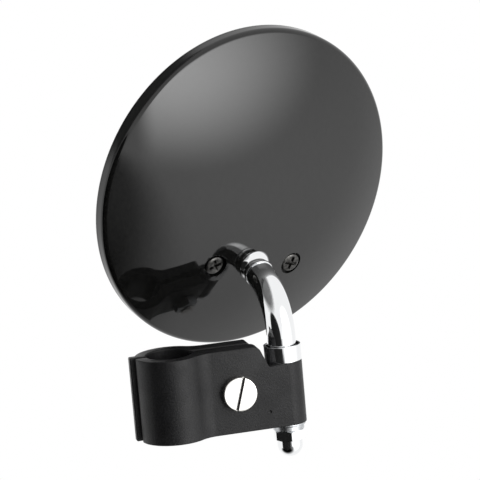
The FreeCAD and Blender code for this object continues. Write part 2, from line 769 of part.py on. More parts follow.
def ball_strap():
    """Pressed steel strap inside the housing: a dish for the ball and a threaded hole at each end."""
    body = new_body("ball_strap", STRAP_FRAME)
    profile = new_sketch(body, "DishProfile", "XZ_Plane")
    brim = leg(DISH_OUTSIDE, s.strap_drop)
    top = -s.strap_drop
    add_outline(
        profile,
        (ZERO, -DISH_OUTSIDE),
        (leg(DISH_OUTSIDE, STRAP_BACK), STRAP_BACK, arc_about(ZERO, ZERO, DISH_OUTSIDE, 1)),
        (brim, STRAP_BACK),
        (brim, top),
        (leg(DISH, s.strap_drop), top),
        (ZERO, -DISH, arc_about(ZERO, ZERO, DISH, -1)),
    )
    turn_solid(body, "Dish", profile)
    plan = new_sketch(body, "StrapPlan", "XY_Plane", STRAP_BACK)
    half = s.strap_width / 2
    end = SCREW_PLACE + s.strap_end
    bevel = s.strap_end
    shoulder = end - bevel
    add_outline(
        plan,
        (shoulder, -half),
        (end, bevel - half),
        (end, half - bevel),
        (shoulder, half),
        (-shoulder, half),
        (-end, half - bevel),
        (-end, bevel - half),
        (-shoulder, -half),
    )
    add_circle(plan, ZERO, ZERO, (brim + leg(DISH, s.strap_drop)) / 2)
    pad(body, "Strap", plan, s.strap_thickness)
    holes = new_sketch(body, "StrapHoles", "XY_Plane", -s.strap_drop)
    for side in (-1, 1):
        add_circle(holes, SCREW_PLACE * side, ZERO, s.housing_screw_radius + s.thread_clearance)
    pocket(body, "StrapThreads", holes, s.strap_thickness)
    return body


def housing_screws():
    """Two cross-head screws through the housing into the strap."""
    body = new_body("housing_screws", STRAP_FRAME)
    profile = new_sketch(body, "HeadProfile", "XZ_Plane")
    head_top = SCREW_SEAT + s.housing_screw_head_height
    tip = STRAP_BACK - s.housing_screw_end
    shoulder = SCREW_SEAT + s.housing_screw_head_height / 2
    crown = s.housing_screw_head_radius / 2
    add_axis(profile, (SCREW_PLACE, tip), (SCREW_PLACE, head_top))
    add_outline(
        profile,
        (SCREW_PLACE, tip),
        (SCREW_PLACE + s.housing_screw_radius, tip),
        (SCREW_PLACE + s.housing_screw_radius, SCREW_SEAT),
        (SCREW_PLACE + s.housing_screw_head_radius, SCREW_SEAT),
        (SCREW_PLACE + s.housing_screw_head_radius, shoulder),
        (SCREW_PLACE + crown, head_top),
        (SCREW_PLACE, head_top),
    )
    turn_solid(body, "ScrewTurning", profile, "Axis0")
    cross = new_sketch(body, "CrossShape", "XY_Plane", head_top)
    arm = crown + s.cross_width / 2
    half = s.cross_width / 2
    corners = [(arm, -half), (arm, half), (half, half), (half, arm), (-half, arm), (-half, half),
               (-arm, half), (-arm, -half), (-half, -half), (-half, -arm), (half, -arm), (half, -half)]
    add_outline(cross, *[(SCREW_PLACE + u, v) for u, v in corners])
    pocket(body, "Cross", cross, s.cross_depth)
    doc.recompute()
    pair = body.newObject("PartDesign::Mirrored", "ScrewPair")
    pair.MirrorPlane = (origin_plane(body, "YZ_Plane"), [""])
    pair.TransformMode = "Whole shape"
    body.Tip = pair
    return body


def disc_point(radius, along):
    """Give a point of the disc, by radius and distance from the dome's centre, in the ball frame."""
    lean_sine, lean_cosine = sine(HOLE_LEAN), cosine(HOLE_LEAN)
    across = radius * lean_cosine + along * lean_sine
    up = along * lean_cosine - radius * lean_sine - BALL_FROM_CENTRE
    return across, up


def mirror_housing():
    """Moulded black shell: a domed back, a straight rim, the ball's socket and two screw pillars."""
    body = new_body("mirror_housing", BALL_FRAME)
    shell = new_sketch(body, "ShellProfile", "YZ_Plane")
    centre = disc_point(ZERO, ZERO)
    add_axis(shell, centre, disc_point(ZERO, s.dome_radius))
    add_outline(
        shell,
        disc_point(s.rim_radius, WALL_END),
        disc_point(s.rim_radius, DOME_EDGE),
        (*disc_point(ZERO, s.dome_radius), arc_about(*centre, s.dome_radius, 1)),
        disc_point(ZERO, INNER_DOME),
        (*disc_point(INNER_RIM, leg(INNER_DOME, INNER_RIM)), arc_about(*centre, INNER_DOME, -1)),
        disc_point(INNER_RIM, WALL_END),
    )
    turn_solid(body, "Shell", shell, "Axis0")
    boss = new_sketch(body, "SocketBoss", "XY_Plane", -s.seat_depth)
    add_circle(boss, ZERO, ZERO, s.ball_radius + s.pillar_wall)
    pad(body, "SocketRing", boss, s.seat_depth + s.ball_depth - s.shell_wall / 2)
    pillars = new_sketch(body, "PillarCircles", "XY_Plane", -s.strap_drop)
    for place in SCREW_PLACES:
        add_circle(pillars, *place, s.housing_screw_radius + s.pillar_wall)
    pad(body, "Pillars", pillars, SCREW_SEAT + s.strap_drop + s.shell_wall / 4)
    socket = new_sketch(body, "SocketProfile", "XZ_Plane")
    lip = SOCKET * sine(s.seat_lip_angle), SOCKET * cosine(s.seat_lip_angle)
    mouth = s.ball_depth + s.shell_wall
    add_outline(
        socket,
        (ZERO, -s.seat_depth),
        (leg(SOCKET, s.seat_depth), -s.seat_depth),
        (*lip, arc_about(ZERO, ZERO, SOCKET, 1)),
        (lip[0] + s.shell_wall, mouth),
        (ZERO, mouth),
    )
    turn_cut(body, "Socket", socket)
    recesses = new_sketch(body, "RecessCircles", "XY_Plane", SCREW_SEAT)
    for place in SCREW_PLACES:
        add_circle(recesses, *place, s.recess_radius)
    pocket(body, "Recesses", recesses, s.recess_depth + s.shell_wall, reverse=True)
    holes = new_sketch(body, "HousingHoles", "XY_Plane", SCREW_SEAT)
    for place in SCREW_PLACES:
        add_circle(holes, *place, s.housing_screw_radius + s.hole_clearance)
    pocket(body, "ScrewHoles", holes, SCREW_SEAT + s.strap_drop)

    def is_rim(edge):
        return edge.Length > 2 * math.pi * INNER_RIM.value and edge.CenterOfMass.distanceToPoint(
            Vector(0, disc_point(ZERO, DOME_EDGE)[0].value, disc_point(ZERO, DOME_EDGE)[1].value)) < 1

    dress(body, "Fillet", "RimRound", s.rim_round, is_rim)
    return body


def bezel_ring():
    """Black ring over the glass's edge, with a skirt inside the housing's rim."""
    body = new_body("bezel_ring", DISC_FRAME)
    profile = new_sketch(body, "BezelProfile", "XZ_Plane")
    skirt_end = WALL_END + s.bezel_skirt_height
    add_outline(
        profile,
        (LIP_INSIDE, FRONT),
        (s.rim_radius - s.bezel_lip / 2, FRONT),
        (s.rim_radius, FRONT + s.bezel_lip / 2),
        (s.rim_radius, WALL_END),
        (SKIRT_OUTSIDE, WALL_END),
        (SKIRT_OUTSIDE, skirt_end),
        (SKIRT_INSIDE, skirt_end),
        (SKIRT_INSIDE, FRONT + s.bezel_lip),
        (LIP_INSIDE, FRONT + s.bezel_lip),
    )
    turn_solid(body, "BezelTurned", profile)
    return body


def mirror_glass():
    """Convex mirror glass."""
    body = new_body("mirror_glass", DISC_FRAME)
    profile = new_sketch(body, "GlassProfile", "XZ_Plane")
    front_centre = GLASS_MIDDLE + s.glass_curve
    back_middle = GLASS_MIDDLE + s.glass_thickness
    add_outline(
        profile,
        (ZERO, GLASS_MIDDLE),
        (GLASS_RADIUS, GLASS_EDGE, arc_about(ZERO, front_centre, s.glass_curve, 1)),
        (GLASS_RADIUS, GLASS_EDGE + s.glass_thickness),
        (ZERO, back_middle, arc_about(ZERO, front_centre + s.glass_thickness, s.glass_curve, -1)),
    )
    turn_solid(body, "GlassTurned", profile)
    return body


def glass_gasket():
    """Rubber ring that presses the glass against the bezel's lip."""
    body = new_body("glass_gasket", DISC_FRAME)
    profile = new_sketch(body, "GasketProfile", "XZ_Plane")
    inside = GLASS_RADIUS - s.gasket_width
    back = GLASS_EDGE + s.glass_thickness
    add_outline(
        profile,
        (inside, back),
        (GLASS_RADIUS, back),
        (GLASS_RADIUS, leg(INNER_DOME, GLASS_RADIUS) - s.fit_clearance),
        (inside, leg(INNER_DOME, inside) - s.fit_clearance),
    )
    turn_solid(body, "GasketTurned", profile)
    return body


subparts = [
    front_jaw(),
    rear_jaw(),
    clamp_screw(),
    clamp_nut(),
    stem(),
    stem_cup(),
    on_stem(flat_ring("stem_washer", s.washer_radius, s.spigot_radius + s.hole_clearance,
                      WASHER_FACE, s.washer_thickness)),
    spring_washer(),
    cap_nut(),
    ball_stud(),
    ball_liner(),
    ball_strap(),
    housing_screws(),
    mirror_housing(),
    bezel_ring(),
    mirror_glass(),
    glass_gasket(),
]
doc.recompute()

for item in doc.Objects:
    if "Invalid" in item.State or "Error" in item.State:
        raise RuntimeError(f"{item.Label} did not compute: {item.getStatusString()}")
for part in subparts:
    if part.Shape.isNull() or not part.Shape.isValid():
        raise RuntimeError(f"{part.Label} has no valid shape")

os.makedirs("parts", exist_ok=True)
for part in subparts:
    part.Shape.exportStep(os.path.join("parts", f"{part.Label}.step"))
    print(f"{part.Label}: {len(part.Shape.Solids)} solid(s), {part.Shape.Volume / 1000:.2f} cm3")
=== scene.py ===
# %% [markdown]
# # A clip-on legshield mirror, seen from behind
# The real mirror has three groups of parts: a painted clamp that grips the edge of a scooter's legshield, a bent
# chrome stem, and a round head with a glossy black housing. The engineering model already has every piece in its
# place, so this lesson loads it first and then works on what the eye sees: edges, finishes and light.

# %% Load the frame
import json
import math
import bpy
from mathutils import Matrix, Vector


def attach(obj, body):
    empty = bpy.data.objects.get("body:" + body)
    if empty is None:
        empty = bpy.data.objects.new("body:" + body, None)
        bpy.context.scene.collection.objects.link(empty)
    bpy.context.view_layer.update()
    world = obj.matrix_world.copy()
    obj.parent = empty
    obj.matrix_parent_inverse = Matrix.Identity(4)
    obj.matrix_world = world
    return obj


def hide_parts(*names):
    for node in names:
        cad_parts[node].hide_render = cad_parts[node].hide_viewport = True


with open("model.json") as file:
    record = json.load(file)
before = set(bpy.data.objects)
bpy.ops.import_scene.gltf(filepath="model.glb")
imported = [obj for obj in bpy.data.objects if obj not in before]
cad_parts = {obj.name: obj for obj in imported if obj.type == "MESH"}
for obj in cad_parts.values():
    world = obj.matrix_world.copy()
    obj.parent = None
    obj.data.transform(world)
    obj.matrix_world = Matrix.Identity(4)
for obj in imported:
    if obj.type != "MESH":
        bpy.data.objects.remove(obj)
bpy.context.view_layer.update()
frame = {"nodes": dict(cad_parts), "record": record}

nodes = frame["nodes"]
MM = 0.001
print("pieces:", sorted(nodes))

# %% [markdown]
# ## The camera
# The picture was taken from a little above and to the left of the clamp, with the object leaning by five degrees.
# A long lens from about a metre keeps the round head free of stretching. The camera stands on the line of sight
# and is then turned a little aside, because the object's middle isn't the picture's middle.

# %% Camera
def direction(azimuth, elevation):
    """Point away from the mirror, by degrees to the right of its back and by degrees upwards."""
    a, e = math.radians(azimuth), math.radians(elevation)
    return Vector((math.sin(a) * math.cos(e), -math.cos(a) * math.cos(e), math.sin(e)))


SIGHT = Vector((24, 20, 45)) * MM
SIGHT_DISTANCE = 1010 * MM
AZIMUTH, ELEVATION, LEAN = -12, 11, math.radians(5)
PICTURE, SENSOR_WIDTH = 480, 36
PIXELS_PER_MM = 2.86
SIGHT_PIXEL = (215.8, 249.15)

towards_camera = direction(AZIMUTH, ELEVATION)
upright = (-towards_camera).to_track_quat("-Z", "Y").to_matrix()
leaning = upright @ Matrix.Rotation(-LEAN, 3, "Z")
right, up = leaning.col[0], leaning.col[1]
centre_of_picture = (SIGHT + right * ((PICTURE / 2 - SIGHT_PIXEL[0]) / PIXELS_PER_MM * MM)
                     - up * ((PICTURE / 2 - SIGHT_PIXEL[1]) / PIXELS_PER_MM * MM))
bpy.ops.object.camera_add(location=SIGHT + towards_camera * SIGHT_DISTANCE)
camera = bpy.context.object
camera.name = "camera"
look = (centre_of_picture - camera.location).to_track_quat("-Z", "Y").to_matrix()
camera.rotation_euler = (look @ Matrix.Rotation(-LEAN, 3, "Z")).to_euler()
camera.data.sensor_width = SENSOR_WIDTH
camera.data.lens = SENSOR_WIDTH * PIXELS_PER_MM * SIGHT_DISTANCE / MM / PICTURE
bpy.context.scene.camera = camera
print(f"camera at {tuple(round(v, 3) for v in camera.location)}, lens {camera.data.lens:.1f} mm")

# %% [markdown]
# ## Colours and nodes
# Colours are picked as sRGB hex values, as in any paint program, and one function turns them to the linear values
# that a shader wants. A second one adds a node with its settings and links, so that a material reads as a list. A
# third starts a finish. The plain values that it is given stay where no node drives them, and stand for the finish in
# a program that can't follow the nodes.

# %% Helpers for finishes
def colour(hex_value):
    channels = [int(hex_value[i:i + 2], 16) / 255 for i in (1, 3, 5)]
    linear = [c / 12.92 if c <= 0.04045 else ((c + 0.055) / 1.055) ** 2.4 for c in channels]
    return (*linear, 1.0)


def add_node(tree, kind, settings=None, **links):
    node = tree.nodes.new(kind)
    for name, value in (settings or {}).items():
        if name in node.inputs:
            node.inputs[name].default_value = value
        else:
            setattr(node, name, value)
    for name, output in links.items():
        tree.links.new(output, node.inputs[name.replace("_", " ")])
    return node


def new_finish(name, settings):
    finish = bpy.data.materials.new(name)
    finish.use_nodes = True
    tree = finish.node_tree
    shader = tree.nodes["Principled BSDF"]
    for socket, value in settings.items():
        shader.inputs[socket].default_value = value
    place = add_node(tree, "ShaderNodeTexCoord").outputs["Object"]
    print("finish:", name)
    return finish, tree, shader, place

# %% [markdown]
# ## Gloss black ABS
# The housing is injection-moulded ABS from a polished tool. It is nearly black and as smooth as glass, so what it
# shows is mostly the studio around it. Slow waves from the mould's cooling, wiping marks that dull the gloss in places
# and a thin veil of dust keep the reflections from looking computed.

# %% Gloss black ABS
gloss_black, tree, shader, place = new_finish("gloss_black_abs", {
    "Base Color": colour("#0e0e0f"), "IOR": 1.54, "Roughness": 0.07})
waves = add_node(tree, "ShaderNodeTexNoise", {"Scale": 1 / (16 * MM), "Detail": 2.0}, Vector=place)
swell = add_node(tree, "ShaderNodeBump", {"Strength": 0.06, "Distance": 0.08 * MM}, Height=waves.outputs["Fac"])
tree.links.new(swell.outputs["Normal"], shader.inputs["Normal"])
wiped = add_node(tree, "ShaderNodeMapping", {"Scale": (1.0, 1.0, 0.25), "Rotation": (0.3, 0.6, 0.0)}, Vector=place)
dust = add_node(tree, "ShaderNodeTexNoise", {"Scale": 1 / (3 * MM), "Detail": 6.0, "Roughness": 0.65},
                Vector=wiped.outputs["Vector"])
haze = add_node(tree, "ShaderNodeMapRange", {"From Min": 0.35, "From Max": 0.75, "To Min": 0.03, "To Max": 0.085},
                Value=dust.outputs["Fac"])
tree.links.new(haze.outputs["Result"], shader.inputs["Roughness"])
veil = add_node(tree, "ShaderNodeTexNoise", {"Scale": 1 / (1.1 * MM), "Detail": 7.0, "Roughness": 0.7}, Vector=place)
dusty = add_node(tree, "ShaderNodeValToRGB", Fac=veil.outputs["Fac"])
for stop, position, value in zip(dusty.color_ramp.elements, (0.35, 0.75), (colour("#0a0a0a"), colour("#1e1e1d"))):
    stop.position, stop.color = position, value
tree.links.new(dusty.outputs["Color"], shader.inputs["Base Color"])

# %% [markdown]
# ## Satin black paint
# The clamp's jaws are castings under a satin black paint. The paint follows the fine grain of the casting, about a
# third of a millimetre and drawn twice as coarse here so that it shows, and its light breaks up into a soft sheen.
# Slow swells come from the casting's skin, and the tops of the grain are rubbed a little greyer.

# %% Satin black paint
satin_black, tree, shader, place = new_finish("satin_black_paint", {
    "Base Color": colour("#1a1a1b"), "IOR": 1.5, "Roughness": 0.4, "Specular IOR Level": 0.25})
grain = add_node(tree, "ShaderNodeTexNoise", {"Scale": 1 / (0.6 * MM), "Detail": 4.0, "Roughness": 0.7}, Vector=place)
grit = add_node(tree, "ShaderNodeBump", {"Strength": 0.75, "Distance": 0.12 * MM}, Height=grain.outputs["Fac"])
skin = add_node(tree, "ShaderNodeTexNoise", {"Scale": 1 / (7 * MM), "Detail": 2.0}, Vector=place)
cast = add_node(tree, "ShaderNodeBump", {"Strength": 0.12, "Distance": 0.2 * MM}, Height=skin.outputs["Fac"],
                Normal=grit.outputs["Normal"])
tree.links.new(cast.outputs["Normal"], shader.inputs["Normal"])
sheen = add_node(tree, "ShaderNodeMapRange", {"From Min": 0.3, "From Max": 0.7, "To Min": 0.34, "To Max": 0.48},
                 Value=skin.outputs["Fac"])
tree.links.new(sheen.outputs["Result"], shader.inputs["Roughness"])
rub = add_node(tree, "ShaderNodeValToRGB", Fac=grain.outputs["Fac"])
for stop, position, value in zip(rub.color_ramp.elements, (0.35, 0.75), (colour("#151516"), colour("#29292a"))):
    stop.position, stop.color = position, value
tree.links.new(rub.outputs["Color"], shader.inputs["Base Color"])

# %% [markdown]
# ## Chrome and nickel
# The stem, its cup, the ball and the cap nut are chrome-plated. Chrome is a clear, slightly blue mirror, and only a
# faint haze and hairlines from polishing separate it from a perfect one. The clamp screw is bright nickel: a little
# warmer and softer, with the turning marks of its face under the plating, and its slot is darkened by painted shade.

# %% Chrome and nickel
chrome, tree, shader, place = new_finish("bright_chrome", {
    "Base Color": colour("#f0f1f2"), "Metallic": 1.0, "Roughness": 0.05})
polish = add_node(tree, "ShaderNodeTexNoise", {"Scale": 1 / (1.6 * MM), "Detail": 6.0}, Vector=place)
film = add_node(tree, "ShaderNodeMapRange", {"From Min": 0.3, "From Max": 0.7, "To Min": 0.03, "To Max": 0.09},
                Value=polish.outputs["Fac"])
tree.links.new(film.outputs["Result"], shader.inputs["Roughness"])
buffed = add_node(tree, "ShaderNodeBump", {"Strength": 0.03, "Distance": 0.02 * MM}, Height=polish.outputs["Fac"])
tree.links.new(buffed.outputs["Normal"], shader.inputs["Normal"])

nickel, tree, shader, place = new_finish("bright_nickel", {
    "Base Color": colour("#e6e4e0"), "Metallic": 1.0, "Roughness": 0.22})
turning = add_node(tree, "ShaderNodeTexNoise", {"Scale": 1 / (0.6 * MM), "Detail": 5.0}, Vector=place)
mark = add_node(tree, "ShaderNodeBump", {"Strength": 0.08, "Distance": 0.03 * MM}, Height=turning.outputs["Fac"])
tree.links.new(mark.outputs["Normal"], shader.inputs["Normal"])
worn = add_node(tree, "ShaderNodeMapRange", {"To Min": 0.14, "To Max": 0.32}, Value=turning.outputs["Fac"])
tree.links.new(worn.outputs["Result"], shader.inputs["Roughness"])
# Painted shade: ambient occlusion darkens the walls of the slot towards near-black, standing in for the shade that
# falls into it.
open_air = add_node(tree, "ShaderNodeAmbientOcclusion", {"Distance": 1.2 * MM, "only_local": True})
slot_painted_shade = add_node(tree, "ShaderNodeValToRGB", Fac=open_air.outputs["AO"])
for stop, position, value in zip(slot_painted_shade.color_ramp.elements, (0.5, 0.85), (colour("#1b1a19"), colour("#e6e4e0"))):
    stop.position, stop.color = position, value
tree.links.new(slot_painted_shade.outputs["Color"], shader.inputs["Base Color"])

# %% [markdown]
# ## Zinc-plated steel
# Washers, the nut behind the clamp and the hidden strap are zinc-plated: greyer than chrome, with small patches of
# crystals that show as a cloudy sheen. The two screws in the dome have the same plating, but a dull, darkened one.
# One function makes both, from the darkest and the lightest tone of the clouds.

# %% Zinc-plated steel
def zinc_plating(name, dark, light):
    finish, tree, shader, place = new_finish(name, {"Base Color": colour(light), "Metallic": 1.0, "Roughness": 0.35})
    patches = add_node(tree, "ShaderNodeTexVoronoi", {"Scale": 1 / (0.8 * MM)}, Vector=place)
    dull = add_node(tree, "ShaderNodeMapRange", {"To Min": 0.26, "To Max": 0.44}, Value=patches.outputs["Distance"])
    tree.links.new(dull.outputs["Result"], shader.inputs["Roughness"])
    cloudy = add_node(tree, "ShaderNodeTexNoise", {"Scale": 1 / (1.1 * MM), "Detail": 5.0}, Vector=place)
    tone = add_node(tree, "ShaderNodeValToRGB", Fac=cloudy.outputs["Fac"])
    for stop, position, value in zip(tone.color_ramp.elements, (0.3, 0.7), (colour(dark), colour(light))):
        stop.position, stop.color = position, value
    tree.links.new(tone.outputs["Color"], shader.inputs["Base Color"])
    return finish


zinc = zinc_plating("zinc_steel", "#a5a8ab", "#d2d4d6")
dull_zinc = zinc_plating("zinc_steel_dulled", "#2e2e2d", "#636260")

# %% [markdown]
# ## Nylon, rubber and the silvered glass
# The ball's liner is natural nylon, milky and slightly waxy. The gasket is black rubber with a fine tooth. The mirror
# glass is silvered at its back: a nearly perfect mirror with a breath of dust on it.

# %% Nylon, rubber and silvered glass
nylon, tree, shader, place = new_finish("natural_nylon", {
    "Base Color": colour("#d9d4c4"), "Roughness": 0.5, "Subsurface Weight": 0.2, "Subsurface Scale": 1.5 * MM})
wax = add_node(tree, "ShaderNodeTexNoise", {"Scale": 1 / (1.5 * MM), "Detail": 3.0}, Vector=place)
waxy = add_node(tree, "ShaderNodeMapRange", {"To Min": 0.38, "To Max": 0.6}, Value=wax.outputs["Fac"])
tree.links.new(waxy.outputs["Result"], shader.inputs["Roughness"])

rubber, tree, shader, place = new_finish("black_rubber", {"Base Color": colour("#141414"), "Roughness": 0.7})
tooth = add_node(tree, "ShaderNodeTexNoise", {"Scale": 1 / (0.4 * MM), "Detail": 3.0}, Vector=place)
rough = add_node(tree, "ShaderNodeBump", {"Strength": 0.3, "Distance": 0.05 * MM}, Height=tooth.outputs["Fac"])
tree.links.new(rough.outputs["Normal"], shader.inputs["Normal"])

silvered, tree, shader, place = new_finish("silvered_glass", {
    "Base Color": colour("#e9ecec"), "Metallic": 1.0, "Roughness": 0.01})
breath = add_node(tree, "ShaderNodeTexNoise", {"Scale": 1 / (9 * MM), "Detail": 6.0}, Vector=place)
dimmed = add_node(tree, "ShaderNodeMapRange", {"From Min": 0.45, "From Max": 0.8, "To Min": 0.01, "To Max": 0.05},
                  Value=breath.outputs["Fac"])
tree.links.new(dimmed.outputs["Result"], shader.inputs["Roughness"])

# %% [markdown]
# ## Which finish goes where
# Every piece of the engineering model names the finish it should have. The pieces that stay as they are get it here,
# and the new ones take it by the same name.

# %% Finishes by name
finishes = {"satin_black_paint": satin_black, "bright_nickel": nickel, "chrome": chrome,
            "zinc_steel": zinc, "natural_nylon": nylon, "gloss_black_abs": gloss_black, "mirror_glass": silvered,
            "black_rubber": rubber}
for node in nodes.values():
    node.data.materials[0] = finishes[node.data.materials[0].name]
print(len(finishes), "finishes on", len(nodes), "pieces")

# %% [markdown]
# ## Frames of the pieces
# The engineering model gives each group a frame of its own: the stem stands upright in the clamp and is turned a
# little, the ball's neck runs on along the stem's end, and the head leans on the ball. The same few numbers are
# repeated here, so that a piece can be modelled upright at the origin and then set in its place.

# %% Frames
def turn(degrees, axis):
    return Matrix.Rotation(math.radians(degrees), 4, axis)


def shift(x, y, z):
    return Matrix.Translation(Vector((x, y, z)) * MM)


DOME_RADIUS, RIM_RADIUS, BALL_DEPTH, BALL_OFFSET = 147.0, 58.8, 2.6, 25.2
BALL_FROM_CENTRE = DOME_RADIUS - BALL_DEPTH
HOLE_LEAN = math.degrees(math.asin(BALL_OFFSET / DOME_RADIUS))
STEM_X, STEM_TURN, BEND_ANGLE = 40.0, 9.8, 65.0
SCREW_X, SCREW_Z = 21.8, -0.6
HEAD_TURN, HEAD_TILT, HEAD_SPIN, STRAP_TURN = 19.5, 15, -4, -5.5

ball_place = next(Vector(joint["pos_m"]) for joint in frame["record"]["behaviour"]["joints"]
                  if joint["name"] == "head_spin")
stem_frame = shift(STEM_X, 0, 0) @ turn(STEM_TURN, "Z")
stud_frame = Matrix.Translation(ball_place) @ turn(STEM_TURN, "Z") @ turn(-BEND_ANGLE, "X")
clamp_screw_frame = shift(SCREW_X, 0, SCREW_Z) @ turn(90, "X")
disc_turn = turn(HEAD_TURN, "Z") @ turn(90 + HEAD_TILT, "X") @ turn(HEAD_SPIN, "Z")
ball_frame = Matrix.Translation(ball_place) @ disc_turn @ turn(HOLE_LEAN, "X")
strap_frame = ball_frame @ turn(STRAP_TURN, "Z")
disc_frame = Matrix.Translation(ball_frame @ Vector((0, 0, -BALL_FROM_CENTRE * MM))) @ disc_turn
print("ball at", tuple(round(v, 4) for v in ball_place), "hole leans by", round(HOLE_LEAN, 2))

# %% [markdown]
# ## Tools for turned pieces
# Most small parts of the mirror come off a lathe. In Blender a lathe is a circle that is extruded ring by ring: each
# ring is moved along the axis and scaled to the next radius. The open ends are then filled, or for a ring-shaped
# part the last ring is merged with the first.

# %% Turned pieces
def fresh(kind, **settings):
    bpy.ops.object.select_all(action="DESELECT")
    getattr(bpy.ops.mesh, f"primitive_{kind}_add")(**settings)
    bpy.ops.object.mode_set(mode="EDIT")
    bpy.ops.mesh.select_all(action="SELECT")
    return bpy.context.object


def ring_on(rings):
    """Extrude the selected ring through (radius, height) pairs, in millimetres."""
    for (radius, height), (next_radius, next_height) in zip(rings, rings[1:]):
        rise = (next_height - height) * MM
        bpy.ops.mesh.extrude_region_move(TRANSFORM_OT_translate={"value": (0, 0, rise)})
        grow = next_radius / radius
        bpy.ops.transform.resize(value=(grow, grow, 1), center_override=(0, 0, next_height * MM))


def select_first(piece, count):
    """Select the first vertices of the mesh, which are the primitive's own."""
    bpy.ops.mesh.select_all(action="DESELECT")
    bpy.ops.object.mode_set(mode="OBJECT")
    for vertex in piece.data.vertices[:count]:
        vertex.select = True
    bpy.ops.object.mode_set(mode="EDIT")


def tidy_mesh(piece):
    bpy.ops.mesh.select_all(action="SELECT")
    bpy.ops.mesh.remove_doubles(threshold=0.0005 * MM)
    bpy.ops.mesh.normals_make_consistent(inside=False)
    bpy.ops.object.mode_set(mode="OBJECT")
    return piece


def turned(name, rings, around=96, hollow=False):
    piece = fresh("circle", vertices=around, radius=rings[0][0] * MM, location=(0, 0, rings[0][1] * MM))
    piece.name = name
    bpy.ops.object.mode_set(mode="OBJECT")
    bpy.ops.object.transform_apply(location=True)
    bpy.ops.object.mode_set(mode="EDIT")
    ring_on([*rings, rings[0]] if hollow else rings)
    if not hollow:
        bpy.ops.mesh.edge_face_add()
        select_first(piece, around)
        bpy.ops.mesh.edge_face_add()
    return tidy_mesh(piece)


def arc_rings(radius, height, start, end, steps):
    """Rings of a ball of that radius about that height, between two angles from its lower pole."""
    angles = [math.radians(start + (end - start) * step / steps) for step in range(steps + 1)]
    return [(radius * math.sin(angle), height - radius * math.cos(angle)) for angle in angles]

# %% [markdown]
# ## Tools to cut, soften and place
# Real edges are never razor-sharp. A narrow bevel catches a line of light along each one, and weighted normals keep
# the flat faces flat beside it. A cutter is a piece of its own that a Boolean takes away.

# %% Cutting, softening and placing
def use_modifier(piece, kind, **settings):
    bpy.ops.object.select_all(action="DESELECT")
    piece.select_set(True)
    bpy.context.view_layer.objects.active = piece
    modifier = piece.modifiers.new(kind.lower(), kind)
    for name, value in settings.items():
        setattr(modifier, name, value)
    bpy.ops.object.modifier_apply(modifier=modifier.name)


def combine(piece, other, operation):
    use_modifier(piece, "BOOLEAN", operation=operation, object=other, solver="EXACT")
    bpy.data.objects.remove(other)


def soften(piece, width, segments=3, above=32):
    use_modifier(piece, "BEVEL", width=width * MM, segments=segments, limit_method="ANGLE",
                 angle_limit=math.radians(above))
    bpy.ops.object.shade_smooth_by_angle(angle=math.radians(above))
    use_modifier(piece, "WEIGHTED_NORMAL", keep_sharp=True)


def set_in_place(piece, place):
    bpy.ops.object.select_all(action="DESELECT")
    piece.select_set(True)
    bpy.context.view_layer.objects.active = piece
    piece.matrix_world = place @ piece.matrix_world
    bpy.ops.object.transform_apply(location=True, rotation=True, scale=True)


def hand_over(piece, body, node, slot, finish=None):
    piece.data.materials.clear()
    piece.data.materials.append(finish or finishes[slot])
    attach(piece, body)
    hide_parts(node)
    print(f"{piece.name}: {len(piece.data.polygons)} faces on {body}")

# %% [markdown]
# ## The dome
# The housing is one moulding: a shallow dome, a rounded edge and a short straight rim. A vertex at the pole is spun
# down along the dome and round its edge and extruded along the rim, and this profile is spun once round the axis.
# A sphere cut off by a plane would be quicker, but it gives no say over the rings at the edge. Solidify gives the
# wall. Many steps are used, because a glossy dome shows every facet.

# %% Dome shell
RIM_ROUND, WALL_END, SHELL_WALL = 2.4, 131.026, 2.3
DOME_STEPS, EDGE_STEPS, ROUND_STEPS = 56, 12, 224
edge_turn = math.degrees(math.asin((RIM_RADIUS - RIM_ROUND) / (DOME_RADIUS - RIM_ROUND)))
edge_centre = Vector((RIM_RADIUS - RIM_ROUND, 0,
                      math.sqrt((DOME_RADIUS - RIM_ROUND) ** 2 - (RIM_RADIUS - RIM_ROUND) ** 2)))


def one_vertex(place):
    piece = fresh("plane", size=1)
    bpy.ops.mesh.merge(type="CENTER")
    bpy.ops.transform.translate(value=Vector(place) * MM)
    return piece


def spin_on(degrees, centre, axis, steps):
    """Spin what is selected, anticlockwise as seen against the axis. The operator counts the other way."""
    bpy.ops.mesh.spin(steps=steps, angle=-math.radians(degrees), center=Vector(centre) * MM, axis=axis)


housing = one_vertex((0, 0, DOME_RADIUS))
housing.name = "housing_moulding"
spin_on(edge_turn, (0, 0, 0), (0, 1, 0), DOME_STEPS)
spin_on(90 - edge_turn, edge_centre, (0, 1, 0), EDGE_STEPS)
bpy.ops.mesh.extrude_region_move(TRANSFORM_OT_translate={"value": (0, 0, (WALL_END - edge_centre.z) * MM)})
bpy.ops.mesh.select_all(action="SELECT")
spin_on(360, (0, 0, 0), (0, 0, 1), ROUND_STEPS)
tidy_mesh(housing)
use_modifier(housing, "SOLIDIFY", thickness=SHELL_WALL * MM, offset=-1, use_even_offset=True)
set_in_place(housing, disc_frame)
print("dome:", [round(v * 1000, 1) for v in housing.dimensions])

# %% [markdown]
# ## Openings in the dome
# The ball sits in a round hole near the lower edge, and two screw heads lie in recesses beside it. A sphere a hair
# larger than the ball and a flat-bottomed cylinder are taken away, as the moulding tool's cores would do. The edges
# of the cuts get a small radius, which shows as a bright crescent in the gloss.

# %% Openings in the dome
SCREW_SPREAD, RECESS_RADIUS, RECESS_DEPTH = 16.5, 4.25, 2.0
SCREW_SKIN = math.sqrt(DOME_RADIUS ** 2 - SCREW_SPREAD ** 2) - BALL_FROM_CENTRE
SCREW_SEAT = SCREW_SKIN - RECESS_DEPTH
SOCKET_RADIUS, CORE_SPARE = 6.55, 3

